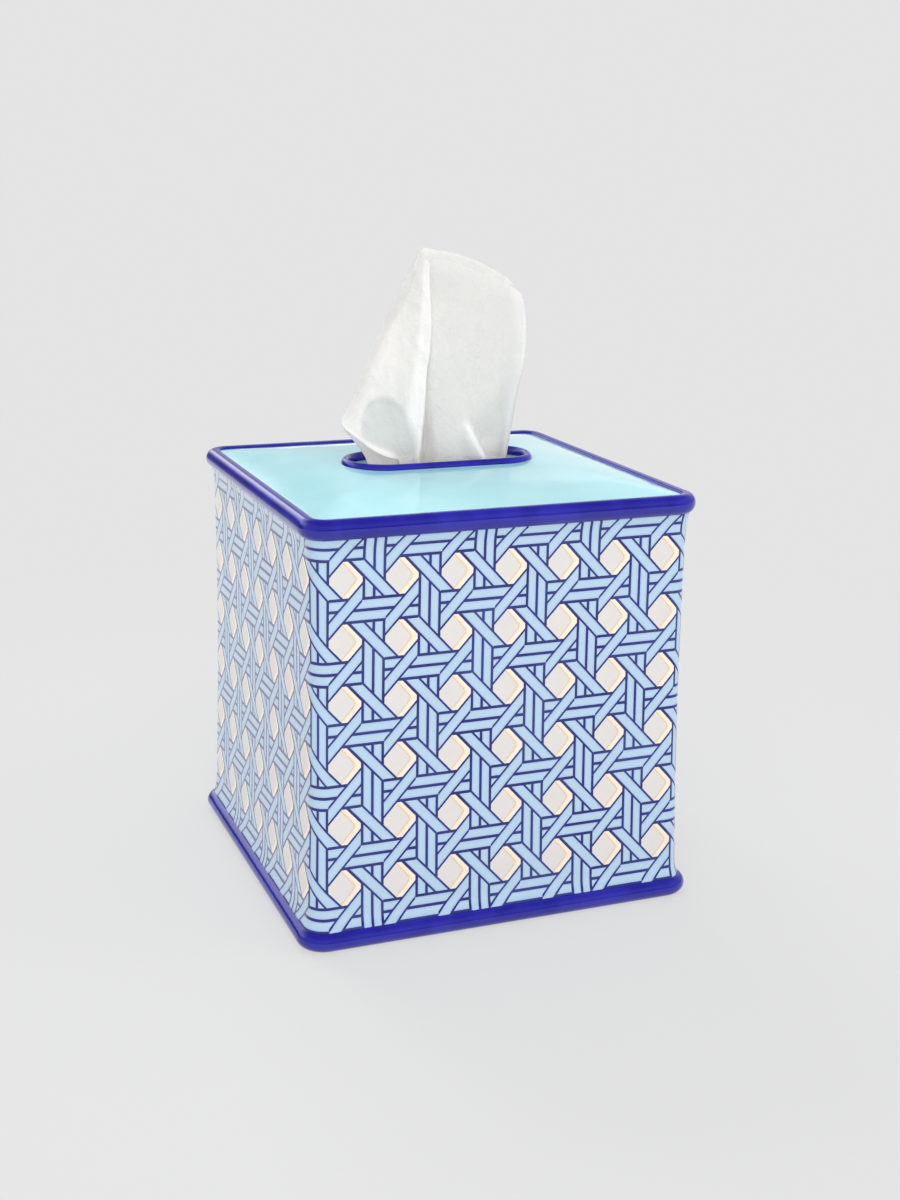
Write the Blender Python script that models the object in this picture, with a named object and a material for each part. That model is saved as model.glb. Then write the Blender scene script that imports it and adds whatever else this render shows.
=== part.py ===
"""A square porcelain tissue box cover, standing over an upright carton of tissues.

Metres, +Z up. The origin is on the table, in the middle of the cover. The long slot runs along X, and
the front of the cover faces -Y.
"""
import math

import bmesh
import bpy

GAP = 0.0003

# Carton of tissues
CARTON_SPAN = 0.1100
CARTON_HEIGHT = 0.1280
CARTON_FOLD_RADIUS = 0.0007
BOARD = 0.0005
OVAL_END_MARGIN = 0.0130
OVAL_SIDE_MARGIN = 0.0360
GLUE_FLAP_WIDTH = 0.0140
GLUE_FLAP_INSET = 0.0020
DUST_FLAP_SPLAY = 0.0080
DUST_FLAP_MARGIN = 0.0020
BOTTOM_DUST_FLAP_REACH = 0.0330
INNER_FLAP_REACH = 0.0820
FLAP_SIDE_CLEARANCE = 0.0010

# Cover walls, which clear the carton all round
CARTON_CLEARANCE = 0.0072
CARTON_HEADROOM = 0.0083
WALL_THICKNESS = 0.0045
CAVITY_CORNER_RADIUS = 0.0015
WALL_WAIST = 0.0009
COVE_FLARE = 0.0009
COVE_HEIGHT = 0.0050

# Foot moulding
BASE_RIM_HEIGHT = 0.0064
BASE_RIM_OVERHANG = 0.0034
FOOT_CHAMFER = 0.0006

# Top moulding, with the ledge that the domed top sits on
TOP_RIM_LEDGE = 0.0013
TOP_RIM_OVERHANG = 0.0029
TOP_RIM_INWARD = 0.0022
TOP_RIM_FALL = 0.0008

# Domed top
TOP_THICKNESS = 0.0042
TOP_EDGE_FALL = 0.0010
DOME_RISE = 0.0044
DOME_FULLNESS = 2.2

# Slot and its bead
SLOT_LENGTH = 0.0646
SLOT_WIDTH = 0.0240
BEAD_WIDTH = 0.0032
BEAD_PROUD = 0.0019
BEAD_SEAT_DEPTH = 0.0012

# Clear film with its slit
FILM_THICKNESS = 0.0003
FILM_LAP = 0.0070
SLIT_LENGTH = 0.0540
SLIT_WIDTH = 0.0094

# Clip of interleaved tissues, folded into a U
CLIP_END_CLEARANCE = 0.0035
CLIP_SIDE_CLEARANCE = 0.0025
CLIP_HEADSPACE = 0.0206
CLIP_BEND_RADIUS = 0.0300
CLIP_HOLLOW_WIDTH = 0.0180

# The tissue that waits beside the tail of the one in the slot
NEXT_WIDTH = 0.0480
NEXT_THICKNESS = 0.0012
NEXT_FILM_CLEARANCE = 0.0080
NEXT_FOOT_CLEARANCE = 0.0060

# The tissue that stands in the slot
TISSUE_THICKNESS = 0.0008
TISSUE_RISE = 0.0720
TISSUE_TAIL_CLEARANCE = 0.0040
TISSUE_SLOT_CLEARANCE = 0.0005

# Edges sharper than this stay sharp in the shading
SHARP_DEGREES = 40

# Steps of the round and curved forms
SIDE_STEPS = 7
CORNER_STEPS = 6
RIM_STEPS = 8
WALL_STEPS = 8
DOME_STEPS = 8
BEND_STEPS = 8
TISSUE_STEPS_ACROSS = 34
TISSUE_STEPS_UP = 13
TISSUE_TAIL_STEPS = 3


def clear_scene():
    for old in list(bpy.data.objects):
        bpy.data.objects.remove(old, do_unlink=True)


def material(name, colour, roughness, metallic=0.0, alpha=1.0):
    made = bpy.data.materials.new(name)
    made.use_nodes = True
    shader = made.node_tree.nodes["Principled BSDF"]
    shader.inputs["Base Color"].default_value = (*colour, 1.0)
    shader.inputs["Roughness"].default_value = roughness
    shader.inputs["Metallic"].default_value = metallic
    shader.inputs["Alpha"].default_value = alpha
    return made


def body_empty(name):
    empty = bpy.data.objects.new(name, None)
    bpy.context.collection.objects.link(empty)
    return empty


def finished(name, shape, body, finish, height=0.0):
    """Turn a bmesh into a named object on its body, lifted to its height."""
    bmesh.ops.recalc_face_normals(shape, faces=shape.faces)
    mesh = bpy.data.meshes.new(name)
    shape.to_mesh(mesh)
    shape.free()
    mesh.materials.append(finish)
    mesh.shade_smooth()
    mesh.set_sharp_from_angle(angle=math.radians(SHARP_DEGREES))
    made = bpy.data.objects.new(name, mesh)
    bpy.context.collection.objects.link(made)
    made.parent = body
    made.location.z = height
    return made


# Outlines in plan, each mirrored from its first quadrant


def mirrored(quadrant):
    """Close a quadrant that runs from the +X axis to the +Y axis into a whole outline."""
    second = [(-x, y) for x, y in reversed(quadrant)]
    third = [(-x, -y) for x, y in quadrant]
    fourth = [(x, -y) for x, y in reversed(quadrant)]
    return quadrant[:-1] + second[:-1] + third[:-1] + fourth[:-1]


def square_outline(half, radius):
    straight = half - radius
    points = [(half, straight * i / SIDE_STEPS) for i in range(SIDE_STEPS)]
    for i in range(CORNER_STEPS + 1):
        turn = math.pi / 2 * i / CORNER_STEPS
        points.append((straight + radius * math.cos(turn), straight + radius * math.sin(turn)))
    points += [(straight * (1 - i / SIDE_STEPS), half) for i in range(1, SIDE_STEPS + 1)]
    return mirrored(points)


def slot_outline(half_length, half_width):
    """A long slot with round ends, with as many points as a square outline."""
    straight = half_length - half_width
    arc = half_width * math.pi / 2
    count = 2 * SIDE_STEPS + CORNER_STEPS
    points = []
    for i in range(count + 1):
        run = (arc + straight) * i / count
        if run < arc:
            turn = run / half_width
            points.append((straight + half_width * math.cos(turn), half_width * math.sin(turn)))
        else:
            points.append((straight - (run - arc), half_width))
    return mirrored(points)


def oval_outline(half_length, half_width):
    count = 2 * SIDE_STEPS + CORNER_STEPS
    turns = [math.pi / 2 * i / count for i in range(count + 1)]
    return mirrored([(half_length * math.cos(t), half_width * math.sin(t)) for t in turns])


def at_height(outline, height):
    return [(x, y, height) for x, y in outline]


def ring_solid(rings):
    """Join rings of points into one closed band, the last ring to the first."""
    shape = bmesh.new()
    rows = [[shape.verts.new(point) for point in ring] for ring in rings]
    for lower, upper in zip(rows, rows[1:] + rows[:1]):
        for i in range(len(lower)):
            j = (i + 1) % len(lower)
            shape.faces.new((lower[i], lower[j], upper[j], upper[i]))
    return shape


def prism(low_face, high_face):
    """Join two like outlines, given as 3-D points, with flat ends."""
    shape = bmesh.new()
    low = [shape.verts.new(point) for point in low_face]
    high = [shape.verts.new(point) for point in high_face]
    shape.faces.new(low)
    shape.faces.new(high)
    for i in range(len(low)):
        j = (i + 1) % len(low)
        shape.faces.new((low[i], low[j], high[j], high[i]))
    return shape


def upright(outline, thickness):
    return prism(at_height(outline, 0), at_height(outline, thickness))


def rectangle(left, right, front, back):
    return [(left, front), (right, front), (right, back), (left, back)]


# The porcelain cover


def wall_outline(offset):
    """The wall's outline in plan, grown outward by an offset."""
    half = CARTON_SPAN / 2 + CARTON_CLEARANCE + WALL_THICKNESS
    return square_outline(half + offset, CAVITY_CORNER_RADIUS + WALL_THICKNESS + offset)


def top_rim_height():
    return TOP_RIM_LEDGE + GAP + TOP_THICKNESS + TOP_EDGE_FALL


def cover_height():
    """Height of the top moulding's crest over the table."""
    return CARTON_HEIGHT + CARTON_HEADROOM + TOP_THICKNESS + TOP_EDGE_FALL


def banded(section):
    """A closed band whose section is a list of offset and height pairs."""
    return ring_solid([at_height(wall_outline(offset), height) for offset, height in section])


def rim_bulge(overhang, height, steps):
    """The half-round outer side of a moulding, from its lower edge to its crest."""
    section = []
    for i in range(steps + 1):
        turn = math.pi * (i / steps - 1 / 2)
        section.append((overhang * math.cos(turn), height / 2 * (1 + math.sin(turn))))
    return section


def base_rim(body, finish):
    bulge = rim_bulge(BASE_RIM_OVERHANG, BASE_RIM_HEIGHT, RIM_STEPS)[1:]
    foot = [(-WALL_THICKNESS, FOOT_CHAMFER), (FOOT_CHAMFER - WALL_THICKNESS, 0), (0, 0)]
    inner = [(-WALL_THICKNESS, BASE_RIM_HEIGHT)]
    return finished("base_rim", banded(foot + bulge + inner), body, finish)


def wall_foot():
    return BASE_RIM_HEIGHT + GAP


def wall_height():
    return cover_height() - top_rim_height() - GAP - wall_foot()


def wall_inset(share):
    """How far the outer face draws in at a share of the wall's height: waist and coves."""
    waist = WALL_WAIST * math.sin(math.pi * share)
    from_end = min(share, 1 - share) * wall_height()
    cove = max(0.0, 1 - from_end / COVE_HEIGHT)
    return waist - COVE_FLARE * cove * cove


def wall_shell(body, finish):
    height = wall_height()
    ends = (0.0, COVE_HEIGHT / height / 2, COVE_HEIGHT / height)
    middle = [ends[2] + (1 - 2 * ends[2]) * i / WALL_STEPS for i in range(1, WALL_STEPS)]
    shares = list(ends) + middle + [1 - share for share in reversed(ends)]
    outer = [(-wall_inset(share), height * share) for share in shares]
    inner = [(-WALL_THICKNESS, height), (-WALL_THICKNESS, 0)]
    return finished("wall_shell", banded(outer + inner), body, finish, wall_foot())


def top_rim(body, finish):
    height = top_rim_height()
    bulge = rim_bulge(TOP_RIM_OVERHANG, height, RIM_STEPS)
    shoulder = []
    for i in range(1, RIM_STEPS // 2 + 1):
        turn = math.pi / 2 * i / (RIM_STEPS // 2)
        fall = TOP_RIM_FALL * (1 - math.cos(turn))
        shoulder.append((-TOP_RIM_INWARD * math.sin(turn), height - fall))
    rebate = [(-TOP_RIM_INWARD, TOP_RIM_LEDGE), (-WALL_THICKNESS, TOP_RIM_LEDGE), (-WALL_THICKNESS, 0)]
    return finished("top_rim", banded(bulge + shoulder + rebate), body, finish, cover_height() - height)


def dome_height(share):
    """Height of the domed top over the table, from the moulding (0) to the bead (1)."""
    edge = cover_height() - TOP_EDGE_FALL
    return edge + DOME_RISE * (1 - (1 - share) ** DOME_FULLNESS)


def bead_seat_height():
    return dome_height(1) - BEAD_SEAT_DEPTH


def top_panel(body, finish):
    """The domed top: rings that turn from the square rebate into the slot."""
    edge = wall_outline(-TOP_RIM_INWARD - GAP)
    lap = BEAD_WIDTH + GAP
    bead_edge = slot_outline(SLOT_LENGTH / 2 + lap, SLOT_WIDTH / 2 + lap)
    slot = slot_outline(SLOT_LENGTH / 2, SLOT_WIDTH / 2)
    cavity_edge = wall_outline(-WALL_THICKNESS)

    def between(outer, inner, share, height):
        points = []
        for (ax, ay), (bx, by) in zip(outer, inner):
            points.append((ax + (bx - ax) * share, ay + (by - ay) * share, height))
        return points

    top = []
    for i in range(DOME_STEPS + 1):
        share = i / DOME_STEPS
        top.append(between(edge, bead_edge, share, dome_height(share)))
    seat = [at_height(bead_edge, bead_seat_height()), at_height(slot, bead_seat_height())]
    below = []
    for i in range(DOME_STEPS, -1, -1):
        share = i / DOME_STEPS
        below.append(between(cavity_edge, slot, share, dome_height(share) - TOP_THICKNESS))
    foot = at_height(edge, dome_height(0) - TOP_THICKNESS)
    shape = ring_solid(top + seat + below + [foot])
    return finished("top_panel", shape, body, finish)


def slot_bead(body, finish):
    """The half-round bead, let into the top's seat round the slot."""
    straight_rise = BEAD_SEAT_DEPTH - GAP
    section = [(0.0, 0.0), (BEAD_WIDTH, 0.0)]
    for i in range(RIM_STEPS + 1):
        turn = math.pi * i / RIM_STEPS
        offset = BEAD_WIDTH / 2 * (1 + math.cos(turn))
        section.append((offset, straight_rise + BEAD_PROUD * math.sin(turn)))
    rings = []
    for offset, height in section:
        outline = slot_outline(SLOT_LENGTH / 2 + offset, SLOT_WIDTH / 2 + offset)
        rings.append(at_height(outline, height))
    return finished("slot_bead", ring_solid(rings), body, finish, bead_seat_height() + GAP)


# The carton


def carton_inner_half():
    return CARTON_SPAN / 2 - BOARD


def carton_outline():
    return square_outline(CARTON_SPAN / 2, CARTON_FOLD_RADIUS + BOARD)


def carton_oval(offset):
    """The die-cut oval in the carton's top, grown outward by an offset."""
    half_length = CARTON_SPAN / 2 - OVAL_END_MARGIN
    half_width = CARTON_SPAN / 2 - OVAL_SIDE_MARGIN
    return oval_outline(half_length + offset, half_width + offset)


def carton_sleeve(body, finish):
    """The four-sided tube, standing between the end panels."""
    low = BOARD + GAP
    high = CARTON_HEIGHT - BOARD - GAP
    outer = carton_outline()
    inner = square_outline(carton_inner_half(), CARTON_FOLD_RADIUS)
    rings = [at_height(outer, 0), at_height(outer, high - low)]
    rings += [at_height(inner, high - low), at_height(inner, 0)]
    return finished("carton_sleeve", ring_solid(rings), body, finish, low)


def glue_flap(body, finish):
    face = carton_inner_half() - GAP
    back = carton_inner_half() - GLUE_FLAP_INSET
    low = bottom_stack_top() + GAP
    high = film_foot() - BOARD - 2 * GAP
    outline = rectangle(-face, -face + BOARD, back - GLUE_FLAP_WIDTH, back)
    return finished("glue_flap", upright(outline, high - low), body, finish, low)


def carton_top(body, finish):
    outer = carton_outline()
    oval = carton_oval(0)
    rings = [at_height(outer, 0), at_height(outer, BOARD), at_height(oval, BOARD), at_height(oval, 0)]
    return finished("carton_top", ring_solid(rings), body, finish, CARTON_HEIGHT - BOARD)


def film_foot():
    return CARTON_HEIGHT - BOARD - GAP - FILM_THICKNESS


def slit_film(body, finish):
    outer = carton_oval(FILM_LAP)
    slit = slot_outline(SLIT_LENGTH / 2, SLIT_WIDTH / 2)
    rings = [at_height(outer, 0), at_height(outer, FILM_THICKNESS)]
    rings += [at_height(slit, FILM_THICKNESS), at_height(slit, 0)]
    return finished("slit_film", ring_solid(rings), body, finish, film_foot())


def dust_flap(name, side, reach, height, body, finish):
    """A flap folded in from the left (-1) or right (1) wall, its free corners splayed."""
    wall = carton_inner_half() - GAP
    half = wall - FLAP_SIDE_CLEARANCE
    free = wall - reach
    outline = [
        (side * wall, -half),
        (side * wall, half),
        (side * free, half - DUST_FLAP_SPLAY),
        (side * free, DUST_FLAP_SPLAY - half),
    ]
    return finished(name, upright(outline, BOARD), body, finish, height)


def top_dust_flaps(body, finish):
    reach = OVAL_END_MARGIN - BOARD - DUST_FLAP_MARGIN
    height = film_foot() - GAP - BOARD
    for name, side in (("top_dust_flap_left", -1), ("top_dust_flap_right", 1)):
        dust_flap(name, side, reach, height, body, finish)


def bottom_stack_top():
    """Top of the bottom dust flaps, on which the clip stands."""
    return 3 * BOARD + 2 * GAP


def bottom_flaps(body, finish):
    finished("bottom_outer_flap", upright(carton_outline(), BOARD), body, finish)
    wall = carton_inner_half() - GAP
    side = wall - FLAP_SIDE_CLEARANCE
    inner = rectangle(-side, side, wall - INNER_FLAP_REACH, wall)
    finished("bottom_inner_flap", upright(inner, BOARD), body, finish, BOARD + GAP)
    height = 2 * (BOARD + GAP)
    for name, side in (("bottom_dust_flap_left", -1), ("bottom_dust_flap_right", 1)):
        dust_flap(name, side, BOTTOM_DUST_FLAP_REACH, height, body, finish)


# The tissues


def arc(centre, radius, start, stop, steps):
    """Points on an arc, in degrees, in the plane of the section."""
    points = []
    for i in range(steps + 1):
        turn = math.radians(start + (stop - start) * i / steps)
        points.append((centre[0] + radius * math.cos(turn), centre[1] + radius * math.sin(turn)))
    return points


def clip_foot():
    return bottom_stack_top() + GAP


def clip_depth():
    return 2 * (carton_inner_half() - CLIP_SIDE_CLEARANCE)


def clip_top():
    return CARTON_HEIGHT - CLIP_HEADSPACE


def clip_hollow_floor():
    """The hollow of the U leaves as much pack below it as each arm is thick."""
    return clip_foot() + (clip_depth() - CLIP_HOLLOW_WIDTH) / 2


def tissue_clip(body, finish):
    half = clip_depth() / 2
    end = carton_inner_half() - CLIP_END_CLEARANCE
    bend = CLIP_BEND_RADIUS
    hollow = CLIP_HOLLOW_WIDTH / 2
    top = clip_top() - clip_foot()
    hollow_centre = (0, clip_hollow_floor() - clip_foot() + hollow)
    section = [(-half, top)]
    section += arc((bend - half, bend), bend, 180, 270, BEND_STEPS)
    section += arc((half - bend, bend), bend, 270, 360, BEND_STEPS)
    section += [(half, top), (hollow, top)]
    section += arc(hollow_centre, hollow, 0, -180, BEND_STEPS)
    section += [(-hollow, top)]
    left = [(-end, y, z) for y, z in section]
    right = [(end, y, z) for y, z in section]
    return finished("tissue_clip", prism(left, right), body, finish, clip_foot())


def next_tissue(body, finish):
    """A folded sheet against the back of the hollow, its head leaning in to the slit's back edge."""
    back = CLIP_HOLLOW_WIDTH / 2 - GAP
    foot = clip_hollow_floor() + CLIP_HOLLOW_WIDTH / 2 + NEXT_FOOT_CLEARANCE
    head = film_foot() - NEXT_FILM_CLEARANCE
    lean = back - NEXT_THICKNESS - SLIT_WIDTH / 2 - GAP
    path = [(back, foot), (back, clip_top())]
    for i in range(1, BEND_STEPS + 1):
        share = i / BEND_STEPS
        leaned = lean * math.sin(math.pi / 2 * share) ** 2
        path.append((back - leaned, clip_top() + (head - clip_top()) * share))
    section = path + [(y - NEXT_THICKNESS, z) for y, z in reversed(path)]
    left = [(-NEXT_WIDTH / 2, y, z) for y, z in section]
    right = [(NEXT_WIDTH / 2, y, z) for y, z in section]
    return finished("next_tissue", prism(left, right), body, finish)


def smooth_table(table, share):
    """Read a table of share pairs, easing between its rows."""
    for (low, start), (high, stop) in zip(table, table[1:]):
        if share <= high:
            part = (share - low) / (high - low)
            return start + (stop - start) * part * part * (3 - 2 * part)
    return table[-1][1]


# Shares of the height over the film, against shares of the half length that the cloth may take
TISSUE_LEFT_SHARES = ((0.0, -0.94), (0.15, -0.98), (0.20, -1.0), (0.46, -1.0), (0.74, -0.54), (1.0, -0.24))
TISSUE_CREASE_SHARES = ((0.0, -0.22), (0.22, -0.25), (0.75, -0.12), (1.0, -0.10))
TISSUE_RIGHT_SHARES = ((0.0, 0.90), (0.24, 0.81), (0.40, 0.88), (0.77, 1.0), (1.0, 0.88))
# Share of the cloth's width that lies left of the crease
TISSUE_CREASE_SHARE = 0.42
# Share of the height over the film in which the cloth opens from the slit to the slot
TISSUE_OPENING_SHARE = 0.15
# Shares of the width, against shares of the whole rise that the free edge reaches
TISSUE_EDGE_SHARES = ((0.0, 0.98), (0.15, 1.0), (0.45, 0.99), (0.80, 0.93), (1.0, 0.85))
# Shares of the height over the film, against shares of the room in the slot that the folds take
TISSUE_FOLD_SHARES = ((0.0, 0.30), (0.2, 0.55), (0.6, 0.90), (1.0, 0.55))
# Shares of the width, against where the cloth lies between the front (-1) and back (1) of its folds
TISSUE_PLEAT_SHARES = (
    (0.0, 0.55), (0.22, -0.70), (0.38, -1.0), (0.47, 0.80), (0.60, -0.25),
    (0.72, -0.60), (0.78, 0.10), (0.86, -0.55), (1.0, 0.45),
)


def bead_top():
    return dome_height(1) + BEAD_PROUD


def room_across(x, half_length, half_width):
    """How far the cloth may lie from the middle line of a round-ended slot, at a place along it."""
    past = abs(x) - (half_length - half_width)
    if past <= 0:
        return half_width
    return math.sqrt(max(0.0, half_width * half_width - past * past))


def blend(low, high, share):
    return low + (high - low) * share


def tissue_middle(across, up, film_top, free_edge):
    """A point of the cloth's middle surface; up is 0 at the film and 1 at the free edge."""
    slot_inset = TISSUE_SLOT_CLEARANCE + TISSUE_THICKNESS / 2
    slit_inset = GAP + TISSUE_THICKNESS / 2
    slot = (SLOT_LENGTH / 2 - slot_inset, SLOT_WIDTH / 2 - slot_inset)
    slit = (SLIT_LENGTH / 2 - slit_inset, SLIT_WIDTH / 2 - slit_inset)
    opened = min(1.0, up / TISSUE_OPENING_SHARE)
    half = blend(slit[0], slot[0], opened)
    left = smooth_table(TISSUE_LEFT_SHARES, up) * half
    crease = smooth_table(TISSUE_CREASE_SHARES, up) * half
    right = smooth_table(TISSUE_RIGHT_SHARES, up) * half
    if across < TISSUE_CREASE_SHARE:
        x = blend(left, crease, across / TISSUE_CREASE_SHARE)
    else:
        x = blend(crease, right, (across - TISSUE_CREASE_SHARE) / (1 - TISSUE_CREASE_SHARE))
    slit_fold = room_across(x, *slit)
    slot_fold = smooth_table(TISSUE_FOLD_SHARES, up) * room_across(x, *slot)
    y = smooth_table(TISSUE_PLEAT_SHARES, across) * blend(slit_fold, slot_fold, opened)
    rise = (free_edge - film_top) * smooth_table(TISSUE_EDGE_SHARES, across)
    return x, y, film_top + rise * up


def popup_tissue(body, finish):
    """The folded cloth over the slit, and under it a tail of one section that can be drawn up."""
    film_top = film_foot() + FILM_THICKNESS
    free_edge = bead_top() + TISSUE_RISE
    tail = film_top - clip_hollow_floor() - TISSUE_TAIL_CLEARANCE
    rows = [(0.0, tail * (i / TISSUE_TAIL_STEPS - 1)) for i in range(TISSUE_TAIL_STEPS)]
    rows += [(i / TISSUE_STEPS_UP, 0.0) for i in range(TISSUE_STEPS_UP + 1)]

    shape = bmesh.new()
    front = []
    back = []
    for up, drop in rows:
        line = []
        for k in range(TISSUE_STEPS_ACROSS + 1):
            x, y, z = tissue_middle(k / TISSUE_STEPS_ACROSS, up, film_top, free_edge)
            line.append((x, y, z + drop))
        front_row = []
        back_row = []
        for k, (x, y, z) in enumerate(line):
            before = line[max(k - 1, 0)]
            after = line[min(k + 1, len(line) - 1)]
            along = (after[0] - before[0], after[1] - before[1])
            half_thickness = TISSUE_THICKNESS / 2 / math.hypot(*along)
            back_x = -along[1] * half_thickness
            back_y = along[0] * half_thickness
            front_row.append(shape.verts.new((x - back_x, y - back_y, z)))
            back_row.append(shape.verts.new((x + back_x, y + back_y, z)))
        front.append(front_row)
        back.append(back_row)
    for i in range(len(rows) - 1):
        for k in range(TISSUE_STEPS_ACROSS):
            shape.faces.new((front[i][k], front[i][k + 1], front[i + 1][k + 1], front[i + 1][k]))
            shape.faces.new((back[i][k], back[i + 1][k], back[i + 1][k + 1], back[i][k + 1]))
        for k in (0, TISSUE_STEPS_ACROSS):
            shape.faces.new((front[i][k], front[i + 1][k], back[i + 1][k], back[i][k]))
    for i in (0, len(rows) - 1):
        for k in range(TISSUE_STEPS_ACROSS):
            shape.faces.new((front[i][k], back[i][k], back[i][k + 1], front[i][k + 1]))
    return finished("popup_tissue", shape, body, finish)


def build():
    clear_scene()
    cover = body_empty("cover_body")
    carton = body_empty("carton_body")
    tissue = body_empty("tissue_body")
    cobalt = material("cobalt_glaze", (0.028, 0.026, 0.33), 0.08)
    cane = material("cane_glaze", (0.50, 0.66, 0.84), 0.10)
    aqua = material("aqua_glaze", (0.52, 0.83, 0.86), 0.08)
    board = material("white_board", (0.80, 0.80, 0.78), 0.6)
    film = material("clear_film", (0.92, 0.94, 0.95), 0.15, alpha=0.35)
    paper = material("tissue_paper", (0.92, 0.92, 0.90), 0.9)

    base_rim(cover, cobalt)
    wall_shell(cover, cane)
    top_rim(cover, cobalt)
    top_panel(cover, aqua)
    slot_bead(cover, cobalt)

    carton_sleeve(carton, board)
    glue_flap(carton, board)
    carton_top(carton, board)
    top_dust_flaps(carton, board)
    bottom_flaps(carton, board)
    slit_film(carton, film)
    tissue_clip(carton, paper)
    next_tissue(carton, paper)

    popup_tissue(tissue, paper)


build()
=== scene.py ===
"""The looks of a square porcelain tissue box cover, with its carton and tissues."""
import math

import bmesh
import bpy
from mathutils import Matrix, Vector, noise

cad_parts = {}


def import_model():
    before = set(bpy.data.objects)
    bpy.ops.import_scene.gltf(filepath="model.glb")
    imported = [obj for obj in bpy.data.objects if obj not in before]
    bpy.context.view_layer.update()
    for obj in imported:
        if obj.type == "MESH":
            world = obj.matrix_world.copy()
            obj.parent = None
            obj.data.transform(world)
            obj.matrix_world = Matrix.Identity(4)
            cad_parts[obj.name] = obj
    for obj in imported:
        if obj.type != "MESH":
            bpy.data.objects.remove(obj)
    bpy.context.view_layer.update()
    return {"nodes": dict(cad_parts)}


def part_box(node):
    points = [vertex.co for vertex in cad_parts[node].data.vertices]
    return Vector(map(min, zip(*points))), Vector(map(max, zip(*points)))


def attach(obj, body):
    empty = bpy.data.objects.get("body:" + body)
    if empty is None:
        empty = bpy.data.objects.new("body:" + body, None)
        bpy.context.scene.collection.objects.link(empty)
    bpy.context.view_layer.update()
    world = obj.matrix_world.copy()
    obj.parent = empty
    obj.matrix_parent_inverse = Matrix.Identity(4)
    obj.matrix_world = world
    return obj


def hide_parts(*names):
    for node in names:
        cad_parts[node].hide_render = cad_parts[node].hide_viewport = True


MM = 0.001

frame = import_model()

# Camera: the photograph's view, in a picture of 900 by 1200 pixels
PICTURE_HEIGHT_PX = 1200
FOCAL_PX = 1695.8
OPTICAL_AXIS_ABOVE_MIDDLE_PX = 200
SENSOR_HEIGHT_MM = 36
VIEW_AZIMUTH = -21.430
VIEW_ELEVATION = 8.685
VIEW_ROLL = 0.778
CAMERA_PLACE = (-213.7 * MM, -555.8 * MM, 257.4 * MM)
NEAREST_SEEN = 10 * MM

# The cover
WALL_CORNER_RADIUS = 6.0 * MM
WALL_THICKNESS = 4.5 * MM
WALL_WAIST = 0.9 * MM
COVE_FLARE = 0.9 * MM
COVE_HEIGHT = 5.0 * MM
JOINT_OVERLAP = 0.5 * MM
BASE_OVERHANG = 3.4 * MM
FOOT_ROUND = 0.6 * MM
TOP_OVERHANG = 2.9 * MM
TOP_INWARD = 2.2 * MM
TOP_FALL = 0.8 * MM
TOP_EDGE_FALL = 1.0 * MM
DOME_RISE = 4.4 * MM
DOME_FULLNESS = 2.2
TOP_THICKNESS = 4.2 * MM
BEAD_WIDTH = 3.2 * MM
BEAD_SINK = 0.9 * MM
BEAD_FULLNESS = 0.8

# The painted cane: its columns run round the whole wall, its rows down it
CANE_COLUMNS = 28
FIRST_COLUMN = 5.1 * MM
FIRST_ROW_HEIGHT = 121.8 * MM
ROW_PITCH = 20.28 * MM

SIDE_STEPS = 14
CORNER_STEPS = 12
ROUND_STEPS = 28
WALL_ROWS = 44
DOME_STEPS = 26
SHARP_DEGREES = 50

base_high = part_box("base_rim")[1]
wall_low, wall_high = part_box("wall_shell")
top_low, top_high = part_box("top_rim")
bead_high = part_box("slot_bead")[1]
clip_low, clip_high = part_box("tissue_clip")
next_low, next_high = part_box("next_tissue")
WALL_HALF = base_high.x - BASE_OVERHANG


# Outlines in plan


def square_path(offset):
    """The wall's outline grown by an offset, from the front's left end: x, y and length run."""
    straight = WALL_HALF - WALL_CORNER_RADIUS
    radius = WALL_CORNER_RADIUS + offset
    points = []
    run = 0.0
    for side in range(4):
        heading = Matrix.Rotation(math.pi / 2 * side, 2)
        for i in range(SIDE_STEPS):
            share = i / SIDE_STEPS
            place = heading @ Vector((straight * (2 * share - 1), -straight - radius))
            points.append((place.x, place.y, run + 2 * straight * share))
        run += 2 * straight
        for i in range(CORNER_STEPS):
            turn = math.pi / 2 * i / CORNER_STEPS
            corner = Vector((straight + radius * math.sin(turn), -straight - radius * math.cos(turn)))
            place = heading @ corner
            points.append((place.x, place.y, run + WALL_CORNER_RADIUS * turn))
        run += WALL_CORNER_RADIUS * math.pi / 2
    return points, run


PERIMETER = square_path(0)[1]
COLUMN_PITCH = PERIMETER / CANE_COLUMNS


def mirrored(quadrant):
    """Close a quadrant that runs from the +X axis to the +Y axis into a whole outline."""
    second = [(-x, y) for x, y in reversed(quadrant)]
    third = [(-x, -y) for x, y in quadrant]
    fourth = [(x, -y) for x, y in reversed(quadrant)]
    return quadrant[:-1] + second[:-1] + third[:-1] + fourth[:-1]


def square_outline(offset):
    """The wall's outline grown by an offset, from the +X axis."""
    straight = WALL_HALF - WALL_CORNER_RADIUS
    radius = WALL_CORNER_RADIUS + offset
    points = [(straight + radius, straight * i / SIDE_STEPS) for i in range(SIDE_STEPS)]
    for i in range(CORNER_STEPS + 1):
        turn = math.pi / 2 * i / CORNER_STEPS
        points.append((straight + radius * math.cos(turn), straight + radius * math.sin(turn)))
    points += [(straight * (1 - i / SIDE_STEPS), straight + radius) for i in range(1, SIDE_STEPS + 1)]
    return mirrored(points)


def slot_outline(grow):
    """The slot's outline grown by an offset, with as many points as a square outline."""
    straight = bead_high.x - bead_high.y
    radius = bead_high.y - BEAD_WIDTH + grow
    arc = radius * math.pi / 2
    count = 2 * SIDE_STEPS + CORNER_STEPS
    points = []
    for i in range(count + 1):
        run = (arc + straight) * i / count
        if run < arc:
            turn = run / radius
            points.append((straight + radius * math.cos(turn), radius * math.sin(turn)))
        else:
            points.append((straight - (run - arc), radius))
    return mirrored(points)


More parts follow.
